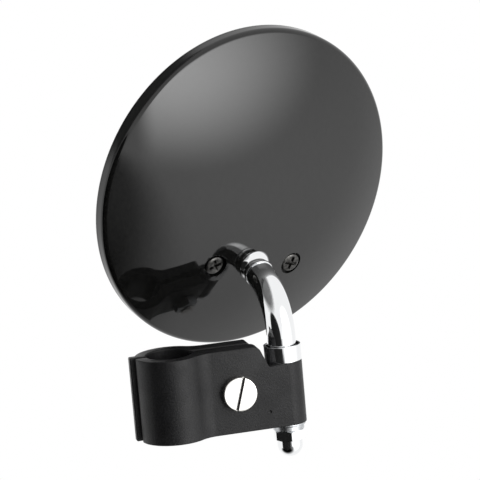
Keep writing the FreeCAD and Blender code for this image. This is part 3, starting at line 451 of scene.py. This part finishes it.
socket_core = fresh("uv_sphere", segments=64, ring_count=32, radius=SOCKET_RADIUS * MM)
bpy.ops.object.mode_set(mode="OBJECT")
set_in_place(socket_core, ball_frame)
combine(housing, socket_core, "DIFFERENCE")
for side in (-1, 1):
    recess_core = turned("recess_core", [(RECESS_RADIUS, SCREW_SEAT), (RECESS_RADIUS, SCREW_SKIN + CORE_SPARE)], 64)
    set_in_place(recess_core, strap_frame @ shift(side * SCREW_SPREAD, 0, 0))
    combine(housing, recess_core, "DIFFERENCE")
soften(housing, 0.3, 3, 40)
hand_over(housing, "head", "mirror_housing", "gloss_black_abs")

# %% [markdown]
# ## Cross-head screws
# Two zinc-plated screws hold the strap behind the ball. Each has a flat-topped head with a rounded shoulder, and a
# cross that is punched with sloping walls: the punch is a small plane that is extruded upwards and widened. One screw
# is modelled, copied and turned, because no two screws stop at the same angle.

# %% Cross-head screws
SHANK, HEAD, HEAD_TOP, SHANK_END = 2.0, 3.5, SCREW_SEAT + 2.1, SCREW_SEAT - 5.0
PUNCH_LENGTH, PUNCH_WIDTH, PUNCH_DEPTH = 6.8, 1.55, 1.2
SLOPE_LENGTH, SLOPE_WIDTH = 0.5, 0.6
cross_screw = turned("cross_head_screw", [
    (SHANK - 0.6, SHANK_END), (SHANK, SHANK_END + 0.6), (SHANK, SCREW_SEAT), (HEAD, SCREW_SEAT),
    (HEAD, HEAD_TOP - 0.75), (3.38, HEAD_TOP - 0.4), (3.05, HEAD_TOP - 0.16), (2.5, HEAD_TOP - 0.05),
    (1.6, HEAD_TOP)], 64)
for arm in (0, 90):
    punch = fresh("plane", size=1)
    bpy.ops.transform.resize(value=(PUNCH_LENGTH * SLOPE_LENGTH * MM, PUNCH_WIDTH * SLOPE_WIDTH * MM, 1))
    bpy.ops.transform.translate(value=(0, 0, -PUNCH_DEPTH * MM))
    bpy.ops.mesh.extrude_region_move(TRANSFORM_OT_translate={"value": (0, 0, 2 * PUNCH_DEPTH * MM)})
    bpy.ops.transform.resize(value=(1 / SLOPE_LENGTH, 1 / SLOPE_WIDTH, 1))
    tidy_mesh(punch)
    set_in_place(punch, shift(0, 0, HEAD_TOP) @ turn(arm, "Z"))
    combine(cross_screw, punch, "DIFFERENCE")
soften(cross_screw, 0.07, 2, 25)
second_screw = cross_screw.copy()
second_screw.data = cross_screw.data.copy()
bpy.context.scene.collection.objects.link(second_screw)
second_screw.name = "cross_head_screw_2"
for screw, side, angle in ((cross_screw, -1, 28), (second_screw, 1, -8)):
    set_in_place(screw, strap_frame @ shift(side * SCREW_SPREAD, 0, 0) @ turn(angle, "Z"))
    hand_over(screw, "head", "housing_screws", "zinc_steel", dull_zinc)

# %% [markdown]
# ## Bezel, glass and their edge
# At the front a thin ring holds the glass: a flat lip over the glass and a skirt inside the rim. Both are closed
# rings, so their profile is turned once round and merged. The glass is a slightly convex disc.

# %% Bezel ring and glass
FRONT, LIP_INSIDE, GLASS_RADIUS = 129.526, 53.3, 55.1
SKIRT_OUTSIDE, SKIRT_INSIDE, SKIRT_TOP, LIP_TOP = 56.4, 55.2, 132.7, FRONT + 0.9
bezel = turned("bezel_moulding", [
    (LIP_INSIDE, FRONT + 0.05), (RIM_RADIUS - 0.5, FRONT), (RIM_RADIUS, FRONT + 0.5), (RIM_RADIUS, WALL_END),
    (SKIRT_OUTSIDE, WALL_END), (SKIRT_OUTSIDE, SKIRT_TOP), (SKIRT_INSIDE, SKIRT_TOP), (SKIRT_INSIDE, LIP_TOP),
    (LIP_INSIDE, LIP_TOP)], ROUND_STEPS, hollow=True)
set_in_place(bezel, disc_frame)
soften(bezel, 0.15, 2)
hand_over(bezel, "head", "bezel_ring", "gloss_black_abs")

GLASS_CURVE, GLASS_THICKNESS, GLASS_MIDDLE = 1200.0, 2.2, 129.342


def glass_level(radius):
    return GLASS_MIDDLE + GLASS_CURVE - math.sqrt(GLASS_CURVE ** 2 - radius ** 2)


glass_radii = [0.5, *range(5, 55, 5), GLASS_RADIUS]
glass = turned("glass_disc", [(r, glass_level(r)) for r in glass_radii]
               + [(r, glass_level(r) + GLASS_THICKNESS) for r in reversed(glass_radii)], 192)
set_in_place(glass, disc_frame)
soften(glass, 0.2, 2)
hand_over(glass, "head", "mirror_glass", "mirror_glass")

# %% [markdown]
# ## Ball stud
# The ball, the swollen neck behind it and the collar are one turned piece, and its pin is pressed into the stem's
# end. The rings follow two spheres that meet in the waist.

# %% Ball stud
BALL_RADIUS, BULB_RADIUS, BULB_BACK = 6.5, 4.6, 4.4
PIN, PIN_END, COLLAR, COLLAR_BACK, COLLAR_FACE = 3.0, -15.4, 5.2, -7.4, -6.2
waist = (BALL_RADIUS ** 2 - BULB_RADIUS ** 2 + BULB_BACK ** 2) / (2 * BULB_BACK)
ball_start = math.degrees(math.acos(waist / BALL_RADIUS))
bulb_start = math.degrees(math.acos((-COLLAR_FACE - BULB_BACK) / BULB_RADIUS))
bulb_end = math.degrees(math.acos((waist - BULB_BACK) / BULB_RADIUS))
ball_stud = turned("ball_stud_turning", [(PIN - 0.4, PIN_END), (PIN, PIN_END + 0.4), (PIN, COLLAR_BACK),
                                         (COLLAR, COLLAR_BACK), (COLLAR, COLLAR_FACE)]
                   + arc_rings(BULB_RADIUS, -BULB_BACK, bulb_start, bulb_end, 6)
                   + arc_rings(BALL_RADIUS, 0, ball_start, 179, 28)[1:])
soften(ball_stud, 0.18, 2)
set_in_place(ball_stud, stud_frame)
hand_over(ball_stud, "ball", "ball_stud", "chrome")

# %% [markdown]
# ## Stem
# A round rod with a thinner spigot at its foot, bent once. The circle is extruded up the spigot and the foot, then
# spun round the bend's centre, which keeps its section true, and extruded to the chamfered end.

# %% Stem
STEM_RADIUS, SPIGOT_RADIUS, SHOULDER, BEND_START, BEND_RADIUS = 5.0, 3.0, 8.35, 15.5, 20.6
STEM_END, STEM_CHAMFER, SPIGOT_END, STEM_AROUND = 3.0, 0.6, -24.65, 96
rod_rings = [(SPIGOT_RADIUS - 0.5, SPIGOT_END), (SPIGOT_RADIUS, SPIGOT_END + 0.5), (SPIGOT_RADIUS, SHOULDER),
             (STEM_RADIUS - 0.4, SHOULDER), (STEM_RADIUS, SHOULDER + 0.4), (STEM_RADIUS, BEND_START)]
stem = fresh("circle", vertices=STEM_AROUND, radius=rod_rings[0][0] * MM)
stem.name = "stem_rod"
bpy.ops.transform.translate(value=(0, 0, rod_rings[0][1] * MM))
ring_on(rod_rings)
spin_on(BEND_ANGLE, (0, BEND_RADIUS, BEND_START), (-1, 0, 0), 40)
bend = math.radians(BEND_ANGLE)
along = Vector((0, math.sin(bend), math.cos(bend)))
end_middle = Vector((0, BEND_RADIUS * (1 - math.cos(bend)), BEND_START + BEND_RADIUS * math.sin(bend)))
bpy.ops.mesh.extrude_region_move(TRANSFORM_OT_translate={"value": along * (STEM_END - STEM_CHAMFER) * MM})
bpy.ops.mesh.extrude_region_move(TRANSFORM_OT_translate={"value": along * STEM_CHAMFER * MM})
shrink = 1 - STEM_CHAMFER / STEM_RADIUS
bpy.ops.transform.resize(value=(shrink,) * 3, center_override=(end_middle + along * STEM_END) * MM)
bpy.ops.mesh.edge_face_add()
select_first(stem, STEM_AROUND)
bpy.ops.mesh.edge_face_add()
tidy_mesh(stem)
soften(stem, 0.15, 2)
set_in_place(stem, stem_frame)
hand_over(stem, "stem", "stem", "chrome")

# %% [markdown]
# ## Cup and washers
# A thin-walled turned cup stands round the stem's foot, and under the ledge lie a flat washer and a split spring
# washer. All are rings, so their profile is closed. The spring washer's split is cut by a leaning block.

# %% Cup and washers
LEDGE, CUP_RIM, FOOT = 7.15, 12.85, -14.75
WASHER_FACE, NUT_FACE = FOOT - 1.0, FOOT - 2.5
CUP_RADIUS, CUP_BORE, CUP_HOLE = 6.5, 5.7, 3.1
WASHER_RADIUS, WASHER_HOLE, SPRING_RADIUS, SPRING_HOLE = 6.0, 3.2, 5.4, 3.1
SLIT_WIDTH, SLIT_LEAN = 1.0, 20
cup = turned("stem_cup_turning", [(CUP_RADIUS, LEDGE), (CUP_RADIUS, CUP_RIM), (CUP_BORE, CUP_RIM),
                                  (CUP_BORE, SHOULDER), (CUP_HOLE, SHOULDER), (CUP_HOLE, LEDGE)], hollow=True)
soften(cup, 0.22, 3)
washer = turned("stem_washer_disc", [(WASHER_RADIUS, WASHER_FACE), (WASHER_RADIUS, FOOT), (WASHER_HOLE, FOOT),
                                     (WASHER_HOLE, WASHER_FACE)], hollow=True)
soften(washer, 0.2, 2)
spring = turned("stem_spring_ring", [(SPRING_RADIUS, NUT_FACE), (SPRING_RADIUS, WASHER_FACE),
                                     (SPRING_HOLE, WASHER_FACE), (SPRING_HOLE, NUT_FACE)], hollow=True)
slit = fresh("cube", size=1)
bpy.ops.transform.resize(value=(SLIT_WIDTH * MM, 6 * MM, 4 * MM))
bpy.ops.transform.rotate(value=math.radians(SLIT_LEAN), orient_axis="Y", center_override=(0, 0, 0))
bpy.ops.transform.translate(value=(0, 4.2 * MM, (WASHER_FACE + NUT_FACE) / 2 * MM))
bpy.ops.object.mode_set(mode="OBJECT")
combine(spring, slit, "DIFFERENCE")
soften(spring, 0.15, 2)
for ring, node, slot in ((cup, "stem_cup", "chrome"), (washer, "stem_washer", "zinc_steel"),
                         (spring, "stem_spring_washer", "zinc_steel")):
    set_in_place(ring, shift(STEM_X, 0, 0))
    hand_over(ring, "clamp", node, slot)

# %% [markdown]
# ## Nuts
# A nut starts as a six-sided bar. Its corners are turned off at the faces, which leaves the curved edges that every
# nut shows: the bar is intersected with a turned blank. The cap nut gets its dome by a union.

# %% Nuts
NUT_FLATS, CORNER_SPARE, FACE_INSET, TURNED_OFF = 10, 0.2, 0.25, 30


def hexagon(name, low, high):
    """Make a nut's six-sided bar between two heights, with the corners of both its faces turned off."""
    blank = NUT_FLATS / math.sqrt(3) + CORNER_SPARE
    face = NUT_FLATS / 2 - FACE_INSET
    bar = fresh("cylinder", vertices=6, radius=NUT_FLATS / math.sqrt(3) * MM, depth=(high - low) * MM)
    bar.name = name
    bpy.ops.transform.translate(value=(0, 0, (low + high) / 2 * MM))
    bpy.ops.object.mode_set(mode="OBJECT")
    drop = (blank - face) * math.tan(math.radians(TURNED_OFF))
    combine(bar, turned("blank", [(face, low), (blank, low + drop), (blank, high - drop), (face, high)]), "INTERSECT")
    return bar


NUT_HEX, NUT_END, DOME_CAP, NUT_TURN = 3.8, FOOT - 12.5, 4.4, 30 + 25
cap_nut = hexagon("cap_nut_turning", NUT_FACE - NUT_HEX, NUT_FACE)
cap = turned("cap", arc_rings(DOME_CAP, NUT_END + DOME_CAP, 1, 90, 20) + [(DOME_CAP, NUT_FACE - 1.0)])
combine(cap_nut, cap, "UNION")
soften(cap_nut, 0.12, 2, 20)
set_in_place(cap_nut, shift(STEM_X, 0, 0) @ turn(NUT_TURN, "Z"))
hand_over(cap_nut, "stem", "cap_nut", "chrome")

FACE, CLAMP_NUT, SCREW_RADIUS = 7.25, 5, 3.0
clamp_nut = hexagon("clamp_nut_hexagon", -FACE - CLAMP_NUT, -FACE)
bore = turned("bore", [(SCREW_RADIUS, -FACE - CLAMP_NUT - 1), (SCREW_RADIUS, -FACE + 1)], 48)
combine(clamp_nut, bore, "DIFFERENCE")
soften(clamp_nut, 0.12, 2, 20)
set_in_place(clamp_nut, clamp_screw_frame)
hand_over(clamp_nut, "rear_jaw", "clamp_nut", "zinc_steel")

# %% [markdown]
# ## Clamp screw
# A slotted cheese-head screw draws the jaws together. Its head is turned with a soft edge, and the slot is sawn
# across it.

# %% Clamp screw
SLOT_LEAN, SLOT_WIDTH, SLOT_DEPTH = 16.5, 1.0, 1.2
HEAD_RADIUS, HEAD_FACE, SCREW_END = 6.0, FACE + 2.6, -FACE - CLAMP_NUT - 2
clamp_screw = turned("clamp_screw_turning", [
    (SCREW_RADIUS - 0.7, SCREW_END), (SCREW_RADIUS, SCREW_END + 0.7), (SCREW_RADIUS, FACE), (HEAD_RADIUS, FACE),
    (HEAD_RADIUS, HEAD_FACE - 0.45), (HEAD_RADIUS - 0.15, HEAD_FACE - 0.16), (HEAD_RADIUS - 0.55, HEAD_FACE)])
saw = fresh("cube", size=1)
bpy.ops.transform.resize(value=(SLOT_WIDTH * MM, 14 * MM, 2 * SLOT_DEPTH * MM))
bpy.ops.object.mode_set(mode="OBJECT")
set_in_place(saw, shift(0, 0, HEAD_FACE) @ turn(-SLOT_LEAN, "Z"))
combine(clamp_screw, saw, "DIFFERENCE")
soften(clamp_screw, 0.12, 2, 25)
set_in_place(clamp_screw, clamp_screw_frame)
hand_over(clamp_screw, "clamp_screw", "clamp_screw", "bright_nickel")

# %% [markdown]
# ## Clamp jaws
# The jaws are castings of one section: a half-round bulge over the legshield's bead, a hollow blend and a flat
# plate. The section is drawn with one vertex that is extruded along the straight runs and spun round the curves,
# then filled and extruded to the clamp's height.

# %% Sections drawn with one vertex
def drawn(name, start, moves, low, high):
    """Draw a closed section in plan from straight moves (x, y) and turns (x, y, degrees, steps), and raise it."""
    piece = one_vertex((*start, low))
    piece.name = name
    here = Vector(start)
    for move in moves:
        if len(move) == 2:
            bpy.ops.mesh.extrude_region_move(TRANSFORM_OT_translate={"value": (*((Vector(move) - here) * MM), 0)})
            here = Vector(move)
        else:
            x, y, degrees, steps = move
            spin_on(degrees, (x, y, 0), (0, 0, 1), steps)
            here = Vector((x, y)) + Matrix.Rotation(math.radians(degrees), 2) @ (here - Vector((x, y)))
    bpy.ops.mesh.select_all(action="SELECT")
    bpy.ops.mesh.remove_doubles(threshold=0.02 * MM)
    bpy.ops.mesh.edge_face_add()
    bpy.ops.mesh.extrude_region_move(TRANSFORM_OT_translate={"value": (0, 0, (high - low) * MM)})
    print(f"{name}: ends {(here - Vector(start)).length:.3f} mm from its start")
    return tidy_mesh(piece)


HALF, BULGE, BEAD, BLEND, GAP, TIP, LOBE = 14.75, 12.0, 8.0, 9.0, 1.25, 1.0, 6.25
blend_x = math.sqrt((BULGE + BLEND) ** 2 - (FACE + BLEND) ** 2)
blend_turn = math.degrees(math.acos((FACE + BLEND) / (BULGE + BLEND)))
tip_turn = math.degrees(math.asin(TIP / BULGE))
bead_turn = 180 - math.degrees(math.asin(TIP / BEAD)) - math.degrees(math.asin(GAP / BEAD))
lobe_turn = 270 + math.degrees(math.asin((GAP + LOBE - FACE) / LOBE))

# %% [markdown]
# ## Front jaw
# The front jaw runs on past the plate to a round lobe, and above the lobe a step leads down to the ledge that the
# stem stands on. A casting pattern would have the step from the start. Here the whole section is raised first and the
# step's outline, drawn the same way and laid on its side, is cut out of it, so the slope and its rounded top are one
# clean curve.

# %% Front jaw
front_jaw = drawn("front_jaw_casting", (-math.sqrt(BULGE ** 2 - TIP ** 2), -TIP), [
    (0, 0, 90 + blend_turn - tip_turn, 40), (blend_x, -FACE - BLEND, -blend_turn, 16), (STEM_X, -FACE),
    (STEM_X, LOBE - FACE, lobe_turn, 72), (math.sqrt(BEAD ** 2 - GAP ** 2), -GAP), (0, 0, -bead_turn, 48)],
    -HALF, HALF)
STEP_FOOT, STEP_TOP, STEP_ROUND = 33.2, 30.0, 3.0
CUT_END, CUT_TOP = 55, 20
step_slope = math.hypot(STEP_FOOT - STEP_TOP, HALF - LEDGE)
tangent = STEP_ROUND * (step_slope - (STEP_FOOT - STEP_TOP)) / (HALF - LEDGE)
step_turn = math.degrees(math.atan2(HALF - LEDGE, STEP_FOOT - STEP_TOP))
step = drawn("step", (STEP_FOOT, LEDGE), [
    (CUT_END, LEDGE), (CUT_END, CUT_TOP), (STEP_TOP - tangent, CUT_TOP), (STEP_TOP - tangent, HALF),
    (STEP_TOP - tangent, HALF - STEP_ROUND, -step_turn, 12)], -CUT_TOP, CUT_TOP)
set_in_place(step, turn(90, "X"))
combine(front_jaw, step, "DIFFERENCE")
soften(front_jaw, 0.8, 4)
print("front jaw:", [round(v * 1000, 1) for v in front_jaw.dimensions])

# %% [markdown]
# ## Rear jaw
# The rear jaw has the same section the other way round. A tongue closes the bead's cavity at the left, a heel at the
# right end keeps the jaws parallel, and the upper corner of its end is cut off.

# %% Rear jaw
TONGUE, TONGUE_THICKNESS, JAW_END, HEEL, CORNER_CUT = 13.6, 3.0, 32.0, 2.4, 2
tongue_top = TIP + TONGUE_THICKNESS
rear_jaw = drawn("rear_jaw_casting", (-math.sqrt(BEAD ** 2 - TIP ** 2), TIP), [
    (-TONGUE, TIP), (-TONGUE, tongue_top), (-math.sqrt(BULGE ** 2 - tongue_top ** 2), tongue_top),
    (0, 0, math.degrees(math.asin(tongue_top / BULGE)) - 90 - blend_turn, 40),
    (blend_x, FACE + BLEND, blend_turn, 16), (JAW_END, FACE), (JAW_END, -GAP), (JAW_END - HEEL, -GAP),
    (JAW_END - HEEL, GAP), (math.sqrt(BEAD ** 2 - GAP ** 2), GAP), (0, 0, bead_turn, 48)], -HALF, HALF)
bpy.ops.object.mode_set(mode="EDIT")
bpy.ops.mesh.select_all(action="SELECT")
bpy.ops.mesh.bisect(plane_co=Vector((JAW_END - CORNER_CUT, 0, HALF - CORNER_CUT)) * MM, plane_no=(1, 0, 1),
                    use_fill=True, clear_outer=True)
tidy_mesh(rear_jaw)
soften(rear_jaw, 0.8, 4)
print("rear jaw:", [round(v * 1000, 1) for v in rear_jaw.dimensions])

# %% [markdown]
# ## Holes in the jaws
# Both jaws are drilled for the clamp screw, and the front one for the stem's spigot. The drills are plain cylinders,
# longer than the jaws are thick. The front plate also has a small pit from its casting, and a sphere that dips into
# the face leaves one with a true edge, which a bump in the paint wouldn't.

# %% Holes in the jaws
DRILL_RADIUS, DRILL_REACH = 3.1, 30
PIT_RADIUS, PIT_PLACE = 1.0, (32.2, -FACE - 0.7, -8.75)


def drill(jaw, place):
    bit = turned("drill", [(DRILL_RADIUS, -DRILL_REACH), (DRILL_RADIUS, DRILL_REACH)], 48)
    set_in_place(bit, place)
    combine(jaw, bit, "DIFFERENCE")


drill(front_jaw, clamp_screw_frame)
drill(rear_jaw, clamp_screw_frame)
pit = fresh("uv_sphere", segments=24, ring_count=12, radius=PIT_RADIUS * MM)
bpy.ops.transform.translate(value=Vector(PIT_PLACE) * MM)
bpy.ops.object.mode_set(mode="OBJECT")
combine(front_jaw, pit, "DIFFERENCE")
drill(front_jaw, shift(STEM_X, 0, 0))
hand_over(front_jaw, "clamp", "clamp_front_jaw", "satin_black_paint")
hand_over(rear_jaw, "rear_jaw", "clamp_rear_jaw", "satin_black_paint")

# %% [markdown]
# ## Studio
# White all round, a large soft box at the front right, a dark mat at the near left and two dark cloths. In a glossy
# black dome and in chrome these are most of what one sees, so they are part of the likeness. The white world is at
# full strength where it is seen, directly or in a reflection, and weaker where it only lights a surface, so that the
# lamps still model the forms.

# %% World
scene = bpy.context.scene
scene.view_settings.view_transform = "Standard"
world = bpy.data.worlds.new("studio")
scene.world = world
world.use_nodes = True
tree = world.node_tree
tree.nodes.clear()


def seen_directly(tree):
    """Tell rays that show the surroundings, directly, mirrored or through glass, from those that only light."""
    path = add_node(tree, "ShaderNodeLightPath")
    some = add_node(tree, "ShaderNodeMath", {"operation": "MAXIMUM"})
    tree.links.new(path.outputs["Is Camera Ray"], some.inputs[0])
    tree.links.new(path.outputs["Is Glossy Ray"], some.inputs[1])
    every = add_node(tree, "ShaderNodeMath", {"operation": "MAXIMUM"})
    tree.links.new(some.outputs[0], every.inputs[0])
    tree.links.new(path.outputs["Is Transmission Ray"], every.inputs[1])
    return every.outputs[0]


def mix_shaders(tree, share, first, second):
    mix = add_node(tree, "ShaderNodeMixShader", Fac=share)
    tree.links.new(first, mix.inputs[1])
    tree.links.new(second, mix.inputs[2])
    return mix.outputs[0]


fill = add_node(tree, "ShaderNodeBackground", {"Color": (1, 1, 1, 1), "Strength": 0.35})
white = add_node(tree, "ShaderNodeBackground", {"Color": (1, 1, 1, 1), "Strength": 1.0})
both = mix_shaders(tree, seen_directly(tree), fill.outputs[0], white.outputs[0])
add_node(tree, "ShaderNodeOutputWorld", Surface=both)

# %% [markdown]
# ## Floor, mat and cloths
# The floor lies far below, glows white and only closes the room. Photographers put black cloth beside glossy things
# to give them dark edges: a mat on the floor darkens the dome's lower left, a low cloth draws the dark streaks in the
# chrome, and a high grey one darkens the rim at the upper left. Each is a plane that turns clear towards its edges,
# because a hard edge would show in the dome, and the camera itself doesn't see it.

# %% Floor, mat and cloths
FLOOR = -1.2
CLOTH_DISTANCE = 1.2


def stage_plane(name, size, location, base):
    bpy.ops.object.select_all(action="DESELECT")
    bpy.ops.mesh.primitive_plane_add(size=1, location=location)
    plane = bpy.context.object
    plane.name = name
    plane.scale = (*size, 1)
    bpy.ops.object.transform_apply(location=False, rotation=False, scale=True)
    finish, tree, shader, place = new_finish(name + "_surface", {
        "Base Color": colour(base), "Roughness": 0.9, "Specular IOR Level": 0.0})
    plane.data.materials.append(finish)
    return plane, tree, shader, place


def fade_out(tree, place, size, full):
    """Measure 1 in the middle of a plane, up to the share called full, and 0 at its edges."""
    spread = add_node(tree, "ShaderNodeVectorMath", {"operation": "DIVIDE"})
    tree.links.new(place, spread.inputs[0])
    spread.inputs[1].default_value = (size[0] / 2, size[1] / 2, 1)
    reach = add_node(tree, "ShaderNodeVectorMath", {"operation": "LENGTH"})
    tree.links.new(spread.outputs[0], reach.inputs[0])
    fade = add_node(tree, "ShaderNodeMapRange", {"interpolation_type": "SMOOTHSTEP", "From Min": 1.0,
                                                 "From Max": full, "To Min": 0.0, "To Max": 1.0},
                    Value=reach.outputs["Value"])
    return fade.outputs["Result"]


def dark_cloth(name, size, location, base, full):
    cloth, tree, shader, place = stage_plane(name, size, location, base)
    clear = add_node(tree, "ShaderNodeBsdfTransparent")
    soft = mix_shaders(tree, fade_out(tree, place, size, full), clear.outputs[0], shader.outputs[0])
    tree.links.new(soft, tree.nodes["Material Output"].inputs["Surface"])
    cloth.visible_camera = False
    return cloth


floor, tree, shader, place = stage_plane("floor", (12, 12), (0, 0, FLOOR), "#f4f4f4")
glow = add_node(tree, "ShaderNodeEmission", {"Color": (1, 1, 1, 1), "Strength": 1.0})
lit = mix_shaders(tree, seen_directly(tree), shader.outputs[0], glow.outputs[0])
tree.links.new(lit, tree.nodes["Material Output"].inputs["Surface"])

dark_cloth("dark_mat", (4.4, 7.0), (-1.28, -2.3, FLOOR + 0.01), "#0a0a0a", 0.72)
for name, azimuth, elevation, size, base, full in (
        ("dark_flag_low", -50, -17, (1.9, 1.8), "#2c2c2c", 0.85),
        ("dark_flag_high", -95, 50, (3.4, 2.3), "#a0a0a0", 0.5)):
    away = direction(azimuth, elevation)
    flag = dark_cloth(name, size, SIGHT + away * CLOTH_DISTANCE, base, full)
    flag.rotation_euler = away.to_track_quat("Z", "Y").to_euler()

# %% [markdown]
# ## Soft boxes
# The broad highlight on the dome is the picture of a soft box, brightest near its left end and fading to the right. A
# plain area lamp would show as an even rectangle, so the lamp's strength follows the distance from its brightest
# spot and falls off quickly at its left end. A second, weak one from below lifts the dome's lower right.

# %% Soft boxes
LEFT_END = 0.14


def soft_box(name, azimuth, elevation, distance, size, power, bright=(0.5, 0.5), reach=(1, 1)):
    away = direction(azimuth, elevation)
    bpy.ops.object.light_add(type="AREA", location=SIGHT + away * distance)
    lamp = bpy.context.object
    lamp.name = name
    lamp.rotation_euler = away.to_track_quat("Z", "Y").to_euler()
    lamp.data.shape = "RECTANGLE"
    lamp.data.size, lamp.data.size_y = size
    lamp.data.energy = power
    lamp.visible_camera = False
    lamp.data.use_nodes = True
    tree = lamp.data.node_tree
    across = add_node(tree, "ShaderNodeNewGeometry").outputs["Parametric"]
    middle = add_node(tree, "ShaderNodeVectorMath", {"operation": "SUBTRACT"})
    tree.links.new(across, middle.inputs[0])
    middle.inputs[1].default_value = (*bright, 0)
    flat = add_node(tree, "ShaderNodeVectorMath", {"operation": "MULTIPLY"})
    tree.links.new(middle.outputs[0], flat.inputs[0])
    flat.inputs[1].default_value = (1, 1, 0)
    side = add_node(tree, "ShaderNodeSeparateXYZ", Vector=across)
    rise = add_node(tree, "ShaderNodeMapRange", {"interpolation_type": "SMOOTHSTEP", "From Max": LEFT_END},
                    Value=side.outputs["X"])
    strength = add_node(tree, "ShaderNodeMath", {"operation": "MULTIPLY"})
    tree.links.new(fade_out(tree, flat.outputs[0], reach, 0.0), strength.inputs[0])
    tree.links.new(rise.outputs["Result"], strength.inputs[1])
    tree.links.new(strength.outputs[0], tree.nodes["Emission"].inputs["Strength"])
    print(f"{name}: {power} W from {azimuth}, {elevation} degrees")


soft_box("key_light", 42, 5, 1.5, (1.94, 1.9), 61, (0.23, 0.5), (1.54, 1))
soft_box("low_light", 38, -22, 1.0, (2.67, 2.13), 8)
